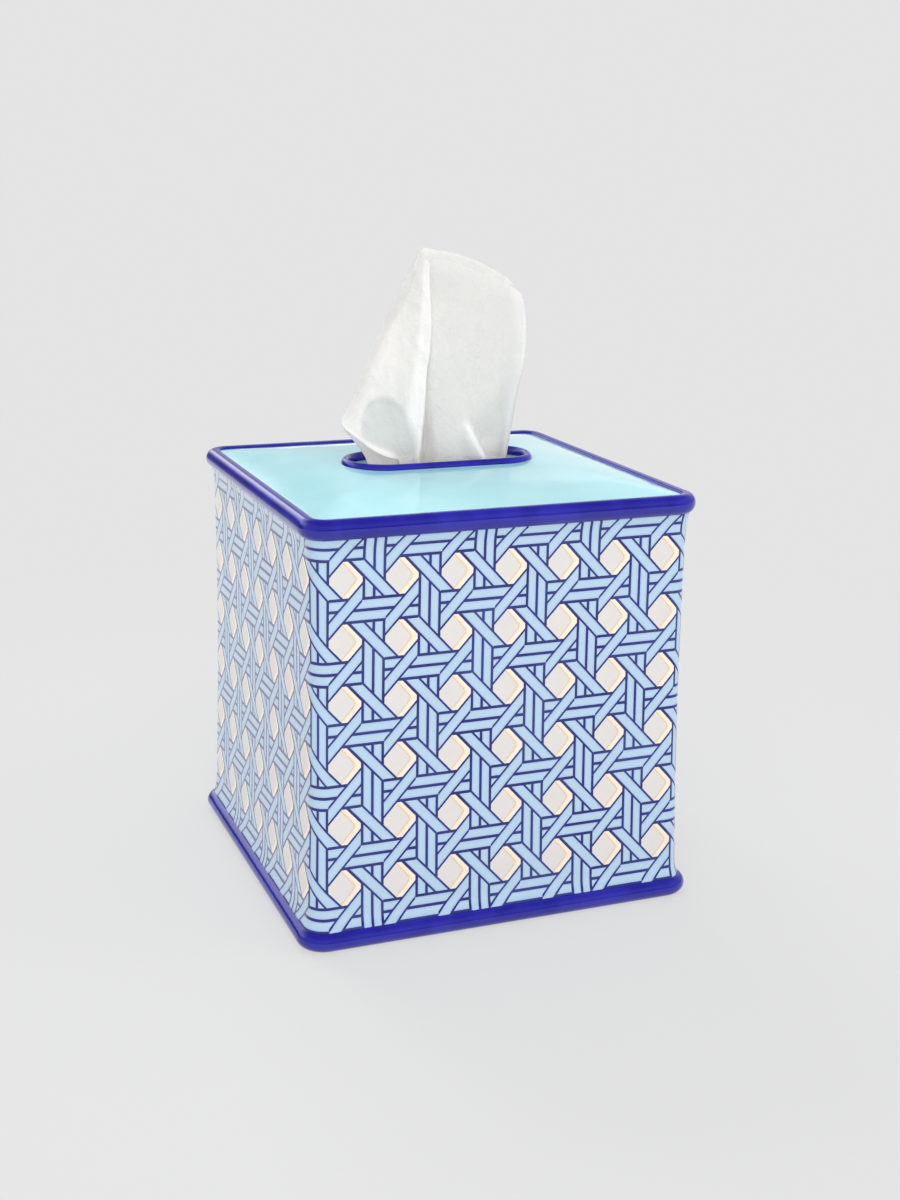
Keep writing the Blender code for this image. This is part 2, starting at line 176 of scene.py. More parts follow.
def at_height(outline, height):
    return [(point[0], point[1], height) for point in outline]


def between(outer, inner, share, height):
    """The outline a share of the way from one outline to another, at a height."""
    points = []
    for (ax, ay), (bx, by) in zip(outer, inner):
        points.append((ax + (bx - ax) * share, ay + (by - ay) * share, height))
    return points


# Meshes


def placed(name, data):
    """A new object in the scene for a mesh, lamp or camera."""
    made = bpy.data.objects.new(name, data)
    bpy.context.scene.collection.objects.link(made)
    return made


def mesh_from(name, shape, materials):
    mesh = bpy.data.meshes.new(name)
    shape.to_mesh(mesh)
    shape.free()
    for made in materials:
        mesh.materials.append(made)
    return mesh


def finished(name, shape, materials, body, stands_for):
    """Turn a bmesh into a smooth piece that rides on a body."""
    bmesh.ops.recalc_face_normals(shape, faces=shape.faces)
    mesh = mesh_from(name, shape, materials)
    mesh.shade_smooth()
    mesh.set_sharp_from_angle(angle=math.radians(SHARP_DEGREES))
    piece = placed(name, mesh)
    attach(piece, body)
    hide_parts(stands_for)
    return piece


def ring_band(rings, index_of=None):
    """Join rings of points into one closed band; index_of gives a band's material index."""
    shape = bmesh.new()
    rows = [[shape.verts.new(point) for point in ring] for ring in rings]
    for k, (lower, upper) in enumerate(zip(rows, rows[1:] + rows[:1])):
        for i in range(len(lower)):
            j = (i + 1) % len(lower)
            face = shape.faces.new((lower[i], lower[j], upper[j], upper[i]))
            if index_of:
                face.material_index = index_of(k)
    return shape


def half_round(overhang, height, steps):
    """The outer side of a moulding, from its lower edge to its crest: offset and height pairs."""
    section = []
    for i in range(steps + 1):
        turn = math.pi * (i / steps - 1 / 2)
        section.append((overhang * math.cos(turn), height / 2 * (1 + math.sin(turn))))
    return section


# The cover's pieces


def foot_moulding(cobalt, biscuit):
    height = base_high.z
    half = half_round(BASE_OVERHANG, height, ROUND_STEPS)
    bulge = [(offset, z) for offset, z in half if z > FOOT_ROUND / 4]
    foot = [(-WALL_THICKNESS, FOOT_ROUND), (FOOT_ROUND - WALL_THICKNESS, 0), (0, 0)]
    inner = [(-WALL_THICKNESS, height)]
    section = foot + bulge + inner
    rings = [at_height(square_path(offset)[0], z) for offset, z in section]
    shape = ring_band(rings, lambda k: 1 if k < 2 else 0)
    return finished("foot_moulding", shape, [cobalt, biscuit], "cover", "base_rim")


def wall_inset(height):
    """How far the painted face draws in at a height: waist and coves."""
    span = wall_high.z - wall_low.z
    share = min(1.0, max(0.0, (height - wall_low.z) / span))
    waist = WALL_WAIST * math.sin(math.pi * share)
    from_end = min(share, 1 - share) * span
    cove = max(0.0, 1 - from_end / COVE_HEIGHT)
    return waist - COVE_FLARE * cove * cove


def cane_walls(cane, inside):
    """The four painted sides; their UV map counts cane columns round and cane rows down."""
    low = wall_low.z - JOINT_OVERLAP
    high = wall_high.z + JOINT_OVERLAP
    heights = []
    for i in range(WALL_ROWS + 1):
        heights.append(low + (high - low) * (1 - math.cos(math.pi * i / WALL_ROWS)) / 2)
    rings = [(square_path(-wall_inset(z))[0], z) for z in heights]
    rings += [(square_path(-WALL_THICKNESS)[0], high), (square_path(-WALL_THICKNESS)[0], low)]
    shape = bmesh.new()
    uv_layer = shape.loops.layers.uv.new("cane")
    rows = [[shape.verts.new((x, y, z)) for x, y, run in ring] for ring, z in rings]
    runs = [run for x, y, run in rings[0][0]] + [PERIMETER]
    for k in range(len(rings)):
        after = (k + 1) % len(rings)
        for i in range(len(rows[k])):
            j = (i + 1) % len(rows[k])
            face = shape.faces.new((rows[k][i], rows[k][j], rows[after][j], rows[after][i]))
            face.material_index = 0 if k < WALL_ROWS else 1
            corners = ((i, k), (i + 1, k), (i + 1, after), (i, after))
            for loop, (step, row) in zip(face.loops, corners):
                column = (runs[step] - FIRST_COLUMN) / COLUMN_PITCH
                loop[uv_layer].uv = (column, (FIRST_ROW_HEIGHT - rings[row][1]) / ROW_PITCH)
    return finished("cane_walls", shape, [cane, inside], "cover", "wall_shell")


def top_moulding(cobalt, inside):
    height = top_high.z - top_low.z
    section = half_round(TOP_OVERHANG, height, ROUND_STEPS)
    for i in range(1, ROUND_STEPS // 2 + 1):
        turn = math.pi / 2 * i / (ROUND_STEPS // 2)
        section.append((-TOP_INWARD * math.sin(turn), height - TOP_FALL * (1 - math.cos(turn))))
    painted = len(section)
    section += [(-TOP_INWARD, height / 3), (-WALL_THICKNESS, height / 3), (-WALL_THICKNESS, 0)]
    rings = [at_height(square_path(offset)[0], top_low.z + z) for offset, z in section]
    shape = ring_band(rings, lambda k: 0 if k < painted else 1)
    return finished("top_moulding", shape, [cobalt, inside], "cover", "top_rim")


def dome_height(share):
    """Height of the domed top, from the moulding (0) to the bead (1)."""
    return top_high.z - TOP_EDGE_FALL + DOME_RISE * (1 - (1 - share) ** DOME_FULLNESS)


def domed_top(aqua, inside):
    edge = square_outline(-TOP_INWARD + JOINT_OVERLAP)
    bead_edge = slot_outline(BEAD_WIDTH / 2)
    slot = slot_outline(BEAD_WIDTH / 6)
    below_edge = square_outline(-WALL_THICKNESS - JOINT_OVERLAP / 2)
    below_slot = slot_outline(JOINT_OVERLAP)
    rings = []
    for i in range(DOME_STEPS + 1):
        share = i / DOME_STEPS
        rings.append(between(edge, bead_edge, share, dome_height(share)))
    rings.append(at_height(slot, dome_height(1) - BEAD_SINK))
    rings.append(at_height(slot, dome_height(1) - TOP_THICKNESS + JOINT_OVERLAP))
    painted = len(rings)
    for i in range(DOME_STEPS, -1, -2):
        share = i / DOME_STEPS
        rings.append(between(below_edge, below_slot, share, dome_height(share) - TOP_THICKNESS))
    rings.append(at_height(edge, dome_height(0) - TOP_THICKNESS + JOINT_OVERLAP))
    shape = ring_band(rings, lambda k: 0 if k < painted else 1)
    return finished("domed_top", shape, [aqua, inside], "cover", "top_panel")


def slot_moulding(cobalt):
    """The bead round the slot: rounded on top and rolled over into the slot."""
    low = dome_height(1) - BEAD_SINK
    rise = bead_high.z - low
    section = []
    for i in range(ROUND_STEPS + 1):
        turn = math.pi * i / ROUND_STEPS
        section.append((BEAD_WIDTH / 2 * (1 + math.cos(turn)), rise * math.sin(turn) ** BEAD_FULLNESS))
    rings = [at_height(slot_outline(offset), low + z) for offset, z in section]
    return finished("slot_moulding", ring_band(rings), [cobalt], "cover", "slot_bead")


# Materials are built from nodes; a Term is a number inside a node tree


class Term:
    def __init__(self, tree, socket):
        self.tree = tree
        self.socket = socket

    def calc(self, operation, *others):
        made = node(self.tree, "Math")
        made.operation = operation
        for k, value in enumerate((self, *others)):
            plug(self.tree, made.inputs[k], value)
        return Term(self.tree, made.outputs[0])

    def __add__(self, other):
        return self.calc("ADD", other)

    def __sub__(self, other):
        return self.calc("SUBTRACT", other)

    def __mul__(self, other):
        return self.calc("MULTIPLY", other)

    def less(self, other):
        return self.calc("LESS_THAN", other)

    def more(self, other):
        return self.calc("GREATER_THAN", other)

    def near(self, value, reach):
        """1 where the term is within reach of the value, and otherwise 0."""
        return (self - value).calc("ABSOLUTE").less(reach)

    def middle_of_cell(self):
        """Distance from the middle between two whole numbers."""
        return (self.calc("FRACT") - 0.5).calc("ABSOLUTE")

    def eased(self, start, stop):
        """0 at start and 1 at stop, eased between them."""
        made = node(self.tree, "MapRange", **{"Value": self, "From Min": start, "From Max": stop})
        made.interpolation_type = "SMOOTHSTEP"
        return Term(self.tree, made.outputs["Result"])

    def within(self, rise, fall):
        """1 between two borders and 0 beyond them, eased over each border."""
        return self.eased(*rise) * opposite(self.eased(*fall))


def opposite(term):
    return term * -1.0 + 1.0


def colour(red, green, blue):
    """A colour written in screen values from 0 to 255, as the shader's linear values."""
    linear = []
    for value in (red, green, blue):
        share = value / 255
        linear.append(share / 12.92 if share <= 0.04045 else ((share + 0.055) / 1.055) ** 2.4)
    return (*linear, 1.0)


def plug(tree, socket, value):
    if isinstance(value, Term):
        tree.links.new(value.socket, socket)
    elif isinstance(value, bpy.types.NodeSocket):
        tree.links.new(value, socket)
    else:
        socket.default_value = value


def node(tree, kind, **values):
    """A new shader node, with values, terms or sockets for its inputs."""
    made = tree.nodes.new("ShaderNode" + kind)
    for name, value in values.items():
        plug(tree, made.inputs[name], value)
    return made


def mix(tree, factor, first, second):
    made = node(tree, "Mix")
    made.data_type = "RGBA"
    plug(tree, made.inputs[0], factor)
    plug(tree, made.inputs[6], first)
    plug(tree, made.inputs[7], second)
    return made.outputs[2]


def mix_shaders(tree, factor, first, second):
    made = node(tree, "MixShader")
    plug(tree, made.inputs[0], factor)
    tree.links.new(first.outputs[0], made.inputs[1])
    tree.links.new(second.outputs[0], made.inputs[2])
    return made


def new_material(name):
    made = bpy.data.materials.new(name)
    made.use_nodes = True
    tree = made.node_tree
    return made, tree, tree.nodes["Principled BSDF"]


def object_place(tree):
    return node(tree, "TexCoord").outputs["Object"]


def split(tree, vector):
    """The three parts of a vector."""
    return [Term(tree, part) for part in node(tree, "SeparateXYZ", Vector=vector).outputs]


def noise_term(tree, scale, detail=2.0, stretch=None):
    """Noise in the object's own place, of a scale in features per metre."""
    place = object_place(tree)
    if stretch:
        place = node(tree, "Mapping", Scale=stretch, Vector=place).outputs["Vector"]
    made = node(tree, "TexNoise", Scale=scale, Detail=detail, Vector=place)
    return Term(tree, made.outputs["Fac"])


def mesh_term(tree, name):
    """A value that the mesh carries at its vertices; 0 where it has none."""
    made = node(tree, "Attribute")
    made.attribute_name = name
    return Term(tree, made.outputs["Fac"])


def bump(tree, height, distance):
    return node(tree, "Bump", Distance=distance, Strength=1.0, Height=height).outputs["Normal"]


# Glazes
GLAZE_SWELL = 0.25 * MM
SWELL_SCALE = 55
PEEL_SCALE = 420
PEEL_SHARE = 0.05
GLOSS_SCALE = 130
GLOSS_SPREAD = 0.04
COBALT_DEEP = colour(20, 18, 138)
COBALT_THIN = colour(34, 32, 156)
AQUA = colour(172, 223, 230)
AQUA_POOLED = colour(164, 219, 228)
# Painted highlight: paler aqua over the last stretch before the moulding, and where it starts and is
# full
AQUA_EDGE_HIGHLIGHT = colour(206, 232, 242)
AQUA_HIGHLIGHT_FROM_EDGE = (0.9 * MM, 0.1 * MM)
WHITE_GLAZE = colour(232, 234, 232)
WHITE_SPECK = colour(222, 224, 222)
BISCUIT = colour(222, 214, 200)
BISCUIT_GRAIN = colour(204, 194, 178)
EVEN_FADE = (0.3, 0.7)


def glaze_surface(tree, shader, roughness):
    """The slow swell and fine orange peel of a poured glaze."""
    swell = noise_term(tree, SWELL_SCALE) + noise_term(tree, PEEL_SCALE) * PEEL_SHARE
    plug(tree, shader.inputs["Normal"], bump(tree, swell, GLAZE_SWELL))
    plug(tree, shader.inputs["Roughness"], noise_term(tree, GLOSS_SCALE) * GLOSS_SPREAD + roughness)


def glazed(name, first, second, scale, detail, fade, roughness):
    """A glaze whose colour drifts between two tones."""
    made, tree, shader = new_material(name)
    drift = noise_term(tree, scale, detail).eased(*fade)
    plug(tree, shader.inputs["Base Color"], mix(tree, drift, first, second))
    glaze_surface(tree, shader, roughness)
    return made


def grained(name, first, second, scale, detail, relief, roughness, stretch=None, alpha=1.0):
    """A surface whose colour and relief follow one grain."""
    made, tree, shader = new_material(name)
    grain = noise_term(tree, scale, detail, stretch)
    plug(tree, shader.inputs["Base Color"], mix(tree, grain.eased(*EVEN_FADE), first, second))
    plug(tree, shader.inputs["Normal"], bump(tree, grain, relief))
    shader.inputs["Roughness"].default_value = roughness
    shader.inputs["Alpha"].default_value = alpha
    return made


def aqua_glaze():
    """The glaze of the top, with a painted highlight in paler aqua along the moulding."""
    made, tree, shader = new_material("aqua_glaze")
    pooled = noise_term(tree, scale=40, detail=3).eased(*EVEN_FADE)
    x, y = split(tree, object_place(tree))[:2]
    edge = WALL_HALF - TOP_INWARD
    highlight_from, highlight_full = AQUA_HIGHLIGHT_FROM_EDGE
    at_edge = x.calc("ABSOLUTE").calc("MAXIMUM", y.calc("ABSOLUTE")).eased(edge - highlight_from, edge - highlight_full)
    body = mix(tree, pooled, AQUA, AQUA_POOLED)
    # painted highlight: the aqua turns paler along the moulding
    plug(tree, shader.inputs["Base Color"], mix(tree, at_edge, body, AQUA_EDGE_HIGHLIGHT))
    glaze_surface(tree, shader, roughness=0.04)
    return made


# The cane: widths are shares of the distance between two holes
PAIR_HALF_SHARE = 0.184
SLANT_HALF_SHARE = 0.134
LINE_SHARE = 0.049
CROSSING_MARGIN_SHARE = 0.001
PAIR_EDGE_SHARES = (0.12, 0.5)
SLANT_EDGE_SHARES = (0.35, 1)
HOLE_BAND_SHARE = 0.213
HOLE_BAND_ROUND_SHARE = 0.04
GOLD_FADE_SHARES = (0.01, 0.06)
GOLD_LINE_SHARE = 0.008
HOLE_SHADE_SHARE = 0.322
STRAND_MIDDLE = colour(175, 202, 218)
STRAND_EDGE = colour(155, 170, 241)
CANE_LINE = colour(0, 14, 98)
CANE_SHADE = colour(52, 30, 70)
HOLE = colour(217, 212, 208)
GOLD_INNER = colour(245, 217, 179)
GOLD_OUTER = colour(243, 232, 216)
GOLD_METAL_SHARE = 0.35
GOLD_LINE = colour(224, 183, 134)
CANE_TINT = colour(150, 190, 235)
CANE_TINT_SHARE = 0.05


def strand(tree, under, distance, half, paired, where):
    """Lay a strand over what is under it: its colour, and its outlines within a region."""
    reach = distance.less(half + LINE_SHARE / 2) * where
    lines = distance.near(half, LINE_SHARE / 2)
    if paired:
        lines = lines.calc("MAXIMUM", distance.less(LINE_SHARE / 2))
        from_middle = (distance - half / 2).calc("ABSOLUTE")
        to_edge = PAIR_EDGE_SHARES
    else:
        from_middle = distance
        to_edge = SLANT_EDGE_SHARES
    across = from_middle.eased(half * to_edge[0], half * to_edge[1])
    body = mix(tree, across, STRAND_MIDDLE, STRAND_EDGE)
    drawn = mix(tree, lines, body, CANE_LINE)
    return mix(tree, reach, under, drawn), reach


def cane_glaze():
    """Caned webbing: pairs of strands up and across, slanted single ones, and holes edged with gold."""
    made, tree, shader = new_material("cane_glaze")
    uv = node(tree, "UVMap")
    uv.uv_map = "cane"
    u, v = split(tree, uv.outputs["UV"])[:2]
    upright = u.middle_of_cell()
    level = v.middle_of_cell()
    falling = (v - u).middle_of_cell()
    rising = (v + u).middle_of_cell()

    right = (u + 0.5).calc("FRACT") - 0.5
    down = (v + 0.5).calc("FRACT") - 0.5
    squared = down * down + HOLE_BAND_ROUND_SHARE ** 2
    band_at = right + squared.calc("SQRT")
    gold = band_at.more(HOLE_BAND_SHARE)
    across_band = (band_at - HOLE_BAND_SHARE).eased(*GOLD_FADE_SHARES)
    band = mix(tree, across_band, GOLD_INNER, GOLD_OUTER)
    ground = mix(tree, gold, HOLE, band)
    ground = mix(tree, band_at.near(HOLE_BAND_SHARE, GOLD_LINE_SHARE), ground, GOLD_LINE)
    ground = mix(tree, (right - down).more(HOLE_SHADE_SHARE), ground, CANE_SHADE)

    everywhere = 1.0
    at_upright = upright.less(level)
    column = (u - 0.5).calc("ROUND")
    row = (v - 0.5).calc("ROUND")
    even = ((column + row) * 0.5).calc("FRACT").less(0.25)
    crossing_half = PAIR_HALF_SHARE + LINE_SHARE / 2 + CROSSING_MARGIN_SHARE
    crossing = upright.less(crossing_half) * level.less(crossing_half) * even

    painted = None
    layers = (
        (falling, SLANT_HALF_SHARE, False, everywhere),
        (level, PAIR_HALF_SHARE, True, everywhere),
        (rising, SLANT_HALF_SHARE, False, everywhere),
        (upright, PAIR_HALF_SHARE, True, everywhere),
        (falling, SLANT_HALF_SHARE, False, at_upright),
        (level, PAIR_HALF_SHARE, True, crossing),
    )
    drawn = ground
    for distance, half, paired, where in layers:
        drawn, reach = strand(tree, drawn, distance, half, paired, where)
        painted = reach if painted is None else painted.calc("MAXIMUM", reach)

    pooled = noise_term(tree, scale=45, detail=3).eased(*EVEN_FADE) * CANE_TINT_SHARE
    drawn = mix(tree, pooled, drawn, CANE_TINT)
    plug(tree, shader.inputs["Base Color"], drawn)
    plug(tree, shader.inputs["Metallic"], opposite(painted) * gold * GOLD_METAL_SHARE)
    glaze_surface(tree, shader, roughness=0.07)
    return made


# Tissue, board and film
PAPER = colour(251, 249, 247)
PAPER_FIBRE = colour(247, 245, 242)
# Lighter doubled paper, partly a painted highlight along the ridge, the hem's lip, the pleat's lip and
# the right edge strip
PAPER_FOLDED_AND_HIGHLIT = colour(254, 252, 250)
# Greyer paper: a single ply at the tops, and painted shade in the hollow over the hem
PAPER_THIN_AND_SHADE = colour(237, 238, 236)
TISSUE_ROUGHNESS = 0.9
TISSUE_SPECULAR = 0.15
TISSUE_RELIEF = 0.34 * MM
CREPE_SHARE = 0.5
FIBRE_SHARE = 0.4
TISSUE_THROUGH_SHARE = 0.45
FOLDED_THROUGH_SHARE = 0.23
TISSUE_CLEAR_SHARE = 0.04
SHEER_CLEAR_SHARE = 0.5
BOARD = colour(226, 224, 221)
BOARD_FIBRE = colour(220, 218, 214)
FILM = colour(240, 244, 246)
FILM_CRINKLE = colour(226, 232, 236)


def tissue_paper():
    """Two plies of soft crepe paper; the mesh says where it is greyer (a single ply at the tops, and
    painted shade in the hollow over the hem), folded double (lighter, partly a painted highlight) or
    sheer.
    """
    made, tree, shader = new_material("tissue_paper")
    crepe = noise_term(tree, scale=2600, detail=3, stretch=(1, 1, 0.35))
    dots = noise_term(tree, scale=900)
    relief = bump(tree, crepe * CREPE_SHARE + dots, TISSUE_RELIEF)
    fibres = noise_term(tree, scale=500, detail=6).eased(0.35, 0.75)
    body = mix(tree, fibres * FIBRE_SHARE, PAPER, PAPER_FIBRE)
    folded = mesh_term(tree, "folded")
    # painted shade in the hollow over the hem, and the greyer single ply at the tops, from the mesh's
    # value
    body = mix(tree, mesh_term(tree, "thin_and_shade"), body, PAPER_THIN_AND_SHADE)
    # lighter where the cloth is doubled, partly a painted highlight on the folds
    body = mix(tree, folded, body, PAPER_FOLDED_AND_HIGHLIT)
    plug(tree, shader.inputs["Base Color"], body)
    plug(tree, shader.inputs["Normal"], relief)
    shader.inputs["Roughness"].default_value = TISSUE_ROUGHNESS
    shader.inputs["Specular IOR Level"].default_value = TISSUE_SPECULAR
    through = node(tree, "BsdfTranslucent", Color=body, Normal=relief)
    lit_through = folded * (FOLDED_THROUGH_SHARE - TISSUE_THROUGH_SHARE) + TISSUE_THROUGH_SHARE
    lit = mix_shaders(tree, lit_through, shader, through)
    clear = node(tree, "BsdfTransparent")
    sheer = mesh_term(tree, "sheer") * (SHEER_CLEAR_SHARE - TISSUE_CLEAR_SHARE)
    seen = mix_shaders(tree, sheer + TISSUE_CLEAR_SHARE, lit, clear)
    tree.links.new(seen.outputs[0], tree.nodes["Material Output"].inputs["Surface"])
    return made


# The cloth that stands in the slot; heights and places are in millimetres over the table's middle.
# A fold has its share of the way across, its top, and its x and y at each of the cloth heights.
CLOTH_HEIGHTS = (49, 100, 127, 137, 147, 154, 160, 168, 180, 192, 204, 214, 222)
LEFT_EDGE = (
    (-24, -24, -24.5, -25.4, -27.6, -32.4, -36.8, -32.3, -26.9, -21.4, -15.8, -10.3, -6.5),
    (0, 0, 0, -1, -2, -2, -1.5, 0, 0.5, 1, 1, 0.5, 0),
)
RIGHT_EDGE = (
    (23.5, 23.5, 23.8, 25.2, 26.8, 28, 29, 30.4, 33, 33.5, 31.4, 27, 23),
    (1, 1, 1, 0.2, -0.6, -0.6, -0.6, -0.4, -0.3, -0.2, 0, 0, 0),
)
FRONT_FOLDS = (
    (0.00, 218.0, *LEFT_EDGE),
    (0.07, 217.6,
     (-22, -22, -22.5, -24.5, -28, -31, -33.8, -30, -25.5, -20.2, -13.2, -9, -6.2),
     (-1, -1, -1.5, -4, -7, -6.5, -4.5, -3, -2.8, -2.6, -2.4, -1.6, -0.8)),
    (0.16, 217.3,
     (-18, -18, -18, -20, -24, -26, -27, -24.5, -20.5, -16.2, -11.6, -8.2, -6.2),
     (-2.5, -2.5, -3, -6, -8, -8, -7.2, -6.2, -5.2, -4.5, -3.7, -2.5, -1.2)),
    (0.26, 216.8,
     (-13, -13, -13, -14.5, -17.5, -18.5, -18.5, -16.5, -13.6, -11.2, -9, -7.2, -6.1),
     (-3.4, -3.4, -3.8, -7.2, -8.8, -9, -8.4, -7.6, -6.6, -5.6, -4.7, -3.2, -1.8)),
    (0.34, 216.2,
     (-9.5, -9.5, -9.5, -10.8, -13.3, -13, -12.2, -11, -9.3, -7.8, -7.3, -6.4, -6),
     (-3.8, -3.8, -4.2, -8, -10, -10.2, -9.8, -9.2, -8.3, -7.3, -6.1, -4.4, -2.7)),
    (0.38, 215.6,
     (-8.3, -8.3, -8.3, -9.3, -11.2, -10.4, -9.6, -8.9, -7.6, -6.3, -6.2, -5.6, -5.6),
     (-3.6, -3.6, -4.2, -8.3, -10.8, -11, -10.8, -10.3, -9.4, -8.5, -7.3, -5.3, -3.4)),
    (0.42, 215.8,
     (-6.5, -6.5, -6.5, -6.5, -7, -6.8, -6.8, -7.2, -6.8, -5.9, -5.8, -5.3, -5.2),
     (0, 0, 0, -2, -4.2, -4.9, -5.8, -7, -7.4, -7, -6, -4.2, -2.8)),
    (0.47, 217.0,
     (-3.6, -3.6, -3.6, -3, -3.2, -3.5, -3.9, -4.6, -4.6, -3.9, -3.8, -3.5, -3.5),
     (-3, -3, -3.4, -6.5, -8.4, -8.6, -8.4, -8.2, -7.9, -7.3, -6.2, -4.4, -3)),
    (0.56, 215.3,
     (4, 4, 4, 4.4, 5, 4.8, 4.6, 4.6, 5, 5.4, 5.2, 4.6, 4),
     (-3.6, -3.6, -4, -8, -10.4, -10.2, -9.8, -9, -8.2, -7.6, -6.8, -5, -3.6)),
    (0.66, 212.6,
     (11.5, 11.5, 11.5, 12.4, 13.6, 12.8, 12.4, 12.6, 13.2, 13.8, 13.6, 12.4, 11),
     (-3.4, -3.4, -3.8, -7.6, -10, -9.6, -9.2, -8.4, -7.6, -7.2, -6.6, -5, -3.4)),
    (0.77, 209.6,
     (18, 18, 18, 19, 20.5, 20.3, 20.4, 21, 22, 22.6, 22, 19, 17),
     (-2, -2, -2.2, -5, -7, -7, -7, -6.8, -6.4, -6, -5.4, -4, -3)),
    (0.90, 205.6,
     (22, 22, 22.2, 23.2, 24.4, 25.1, 25.9, 27.2, 29.2, 30.1, 28.4, 24, 21),
     (-0.8, -0.8, -0.8, -1.6, -2.2, -2.2, -2.4, -2.5, -2.5, -2.4, -2.2, -1.9, -1.5)),
    (0.94, 204.6,
     (22.7, 22.7, 22.9, 24.1, 25.4, 26.4, 27.3, 28.7, 31.2, 31.8, 29.8, 25.4, 21.8),
     (0.2, 0.2, 0.2, -0.6, -1.3, -1.3, -1.4, -1.4, -1.4, -1.3, -1.2, -1, -0.8)),
    (1.00, 203.0, *RIGHT_EDGE),
)
BACK_FOLDS = (
    (0.00, 218.0, *LEFT_EDGE),
    (0.10, 220.0,
     (-17, -17, -17.5, -19, -22, -26, -29, -25, -20.5, -16, -11.6, -8.6, -6.6),
     (2.4, 2.4, 2.2, 1.2, 0.6, 1, 2, 3, 3.2, 3.2, 2.8, 1.8, 0.8)),
    (0.20, 220.3,
     (-7, -7, -7, -8.5, -11, -12.5, -13, -11.5, -9.5, -7.5, -5.8, -5, -4.6),
     (3.8, 3.8, 4.2, 5.6, 6.4, 6.6, 6.6, 6.6, 6.2, 5.6, 4.6, 3.2, 2)),
    (0.32, 217.4,
     (9, 9, 9, 9, 9.5, 10, 10.5, 11, 11.8, 12, 11.6, 10.4, 9),
     (3.8, 3.8, 4.2, 8, 10.2, 9.2, 8.4, 8, 7.6, 7, 6, 4, 2.6)),
    (0.44, 212.4,
     (17.5, 17.5, 17.7, 18.8, 20.4, 21.4, 22.2, 23.4, 25.5, 26, 24.5, 21, 18),
     (3.4, 3.4, 3.6, 6.4, 8, 7.2, 6.4, 6, 5.6, 5.2, 4.4, 3, 2)),
    (0.51, 206.6,
     (22, 22, 22.3, 23.7, 25.3, 26.5, 27.5, 28.9, 31.3, 31.8, 29.7, 25.5, 21.5),
     (2.6, 2.6, 2.8, 4.4, 5, 4.4, 3.8, 3.4, 3.2, 2.8, 2.4, 1.8, 1.2)),
    (0.61, 210.0,
     (8, 8, 8, 8, 8.5, 9, 9.5, 10, 11, 11.5, 11, 10, 9),
     (2.4, 2.4, 2.5, 4, 5, 4.6, 4.4, 4.2, 3.8, 3.4, 2.8, 1.8, 1.2)),
    (0.72, 210.0,
     (-12, -12, -11, -9, -8, -9, -10, -10, -9, -7, -5, -4, -3),
     (1.6, 1.6, 1.8, 2.6, 3, 2.8, 2.6, 2.4, 2.2, 2, 1.6, 1, 0.6)),
    (0.86, 209.0,
     (8, 8, 8, 8, 8.5, 9, 9.5, 10, 11, 11.5, 11, 10, 9),
     (0.8, 0.8, 1, 1.4, 1.8, 1.6, 1.4, 1.4, 1.2, 1, 0.8, 0.4, 0.2)),
    (1.00, 203.0, *RIGHT_EDGE),
)
# The front flap's hem rises to the left from where it enters the slot: column share and height
HEM = (
    (0.0, 158.8), (0.04, 156.4), (0.07, 154.3), (0.11, 152.2),
    (0.16, 150.2), (0.21, 148.6), (0.26, 147.0),
)
HEM_END_SHARE = HEM[-1][0]
SPLIT_HEIGHT = HEM[-1][1]
TAIL_END = 49.5
LIP_RADIUS = 0.3
LIP_TURN_DEGREES = 190
LIP_STEPS = 4
PLY_THICKNESS = 0.2 * MM
CLOTH_LAYERS = ("thin_and_shade", "folded", "sheer")
FRONT_COLUMNS = 200
UPPER_ROWS = 96
LOWER_ROWS = 44
BACK_COLUMNS = 110
BACK_ROWS = 110
# A pair is a range that something eases over, unless it is a size or a place
LEFT_MARGIN = (0.0, 0.07)
RIGHT_MARGIN = (0.93, 1.0)
LIP_CLOSED = (0.2, HEM_END_SHARE)
LIP_OPENED = (-0.05, 0.05)
# Small wrinkles: sizes across and up, and depths
BROAD_SIZE = (12, 17)
CREASE_SIZE = (6, 11)
CREASE_SLANT = (0.3, 0.4)
FINE_SIZE = (2.2, 2.8)
BROAD_DEPTH = 0.9
CREASE_DEPTH = 0.4
CREASE_LEFT_DEPTH = 0.9
FINE_DEPTH = 0.08
FINE_LEFT_DEPTH = 0.2
FRONT_SEED = 0.0
FREE_HEIGHTS = (140, 165)
TOWARDS_LEFT = (-2, 10)
# The left lobe: its bent hem, the hollow over the hem, and the ridge to the right of both
LEFT_LOBE_SHARE = 0.4
HEM_BEND = 3.8
HEM_BEND_HEIGHT = 1.5
HEM_BAND = (1.5, 2.5)
HEM_STOPS = (0.18, 0.27)
HOLLOW_TOP = (-21.5, 170.0)
HOLLOW_ROUND = 12.0
HOLLOW_LEFT = 9.5
HOLLOW_RIGHT = 4.5
HOLLOW_SPREAD = 0.56
HOLLOW_DEPTH = 1.4
HOLLOW_LEFT_EDGE = (-0.9, 1.8)
HOLLOW_RIGHT_EDGE = (-0.6, 3.8)
HOLLOW_UPPER_EDGE = (-0.6, 4.0)
HOLLOW_DEEPENS = (130, 147)
# the heights over which the hollow's painted shade comes in
HOLLOW_SHADE_HEIGHTS = (144, 149)
RIDGE_SHARE = 0.27
RIDGE_SHIFT = 0.07
RIDGE_SHIFTS = (150, 166)
RIDGE_EDGE = 0.05
RIDGE_STOPS = (0.385, 0.4)
RIDGE_STARTS = (146, 156)
LEFT_THINNESS = 0.6
LEFT_THINS = (186, 204)
LEFT_THIN_STOPS = (0.2, 0.3)
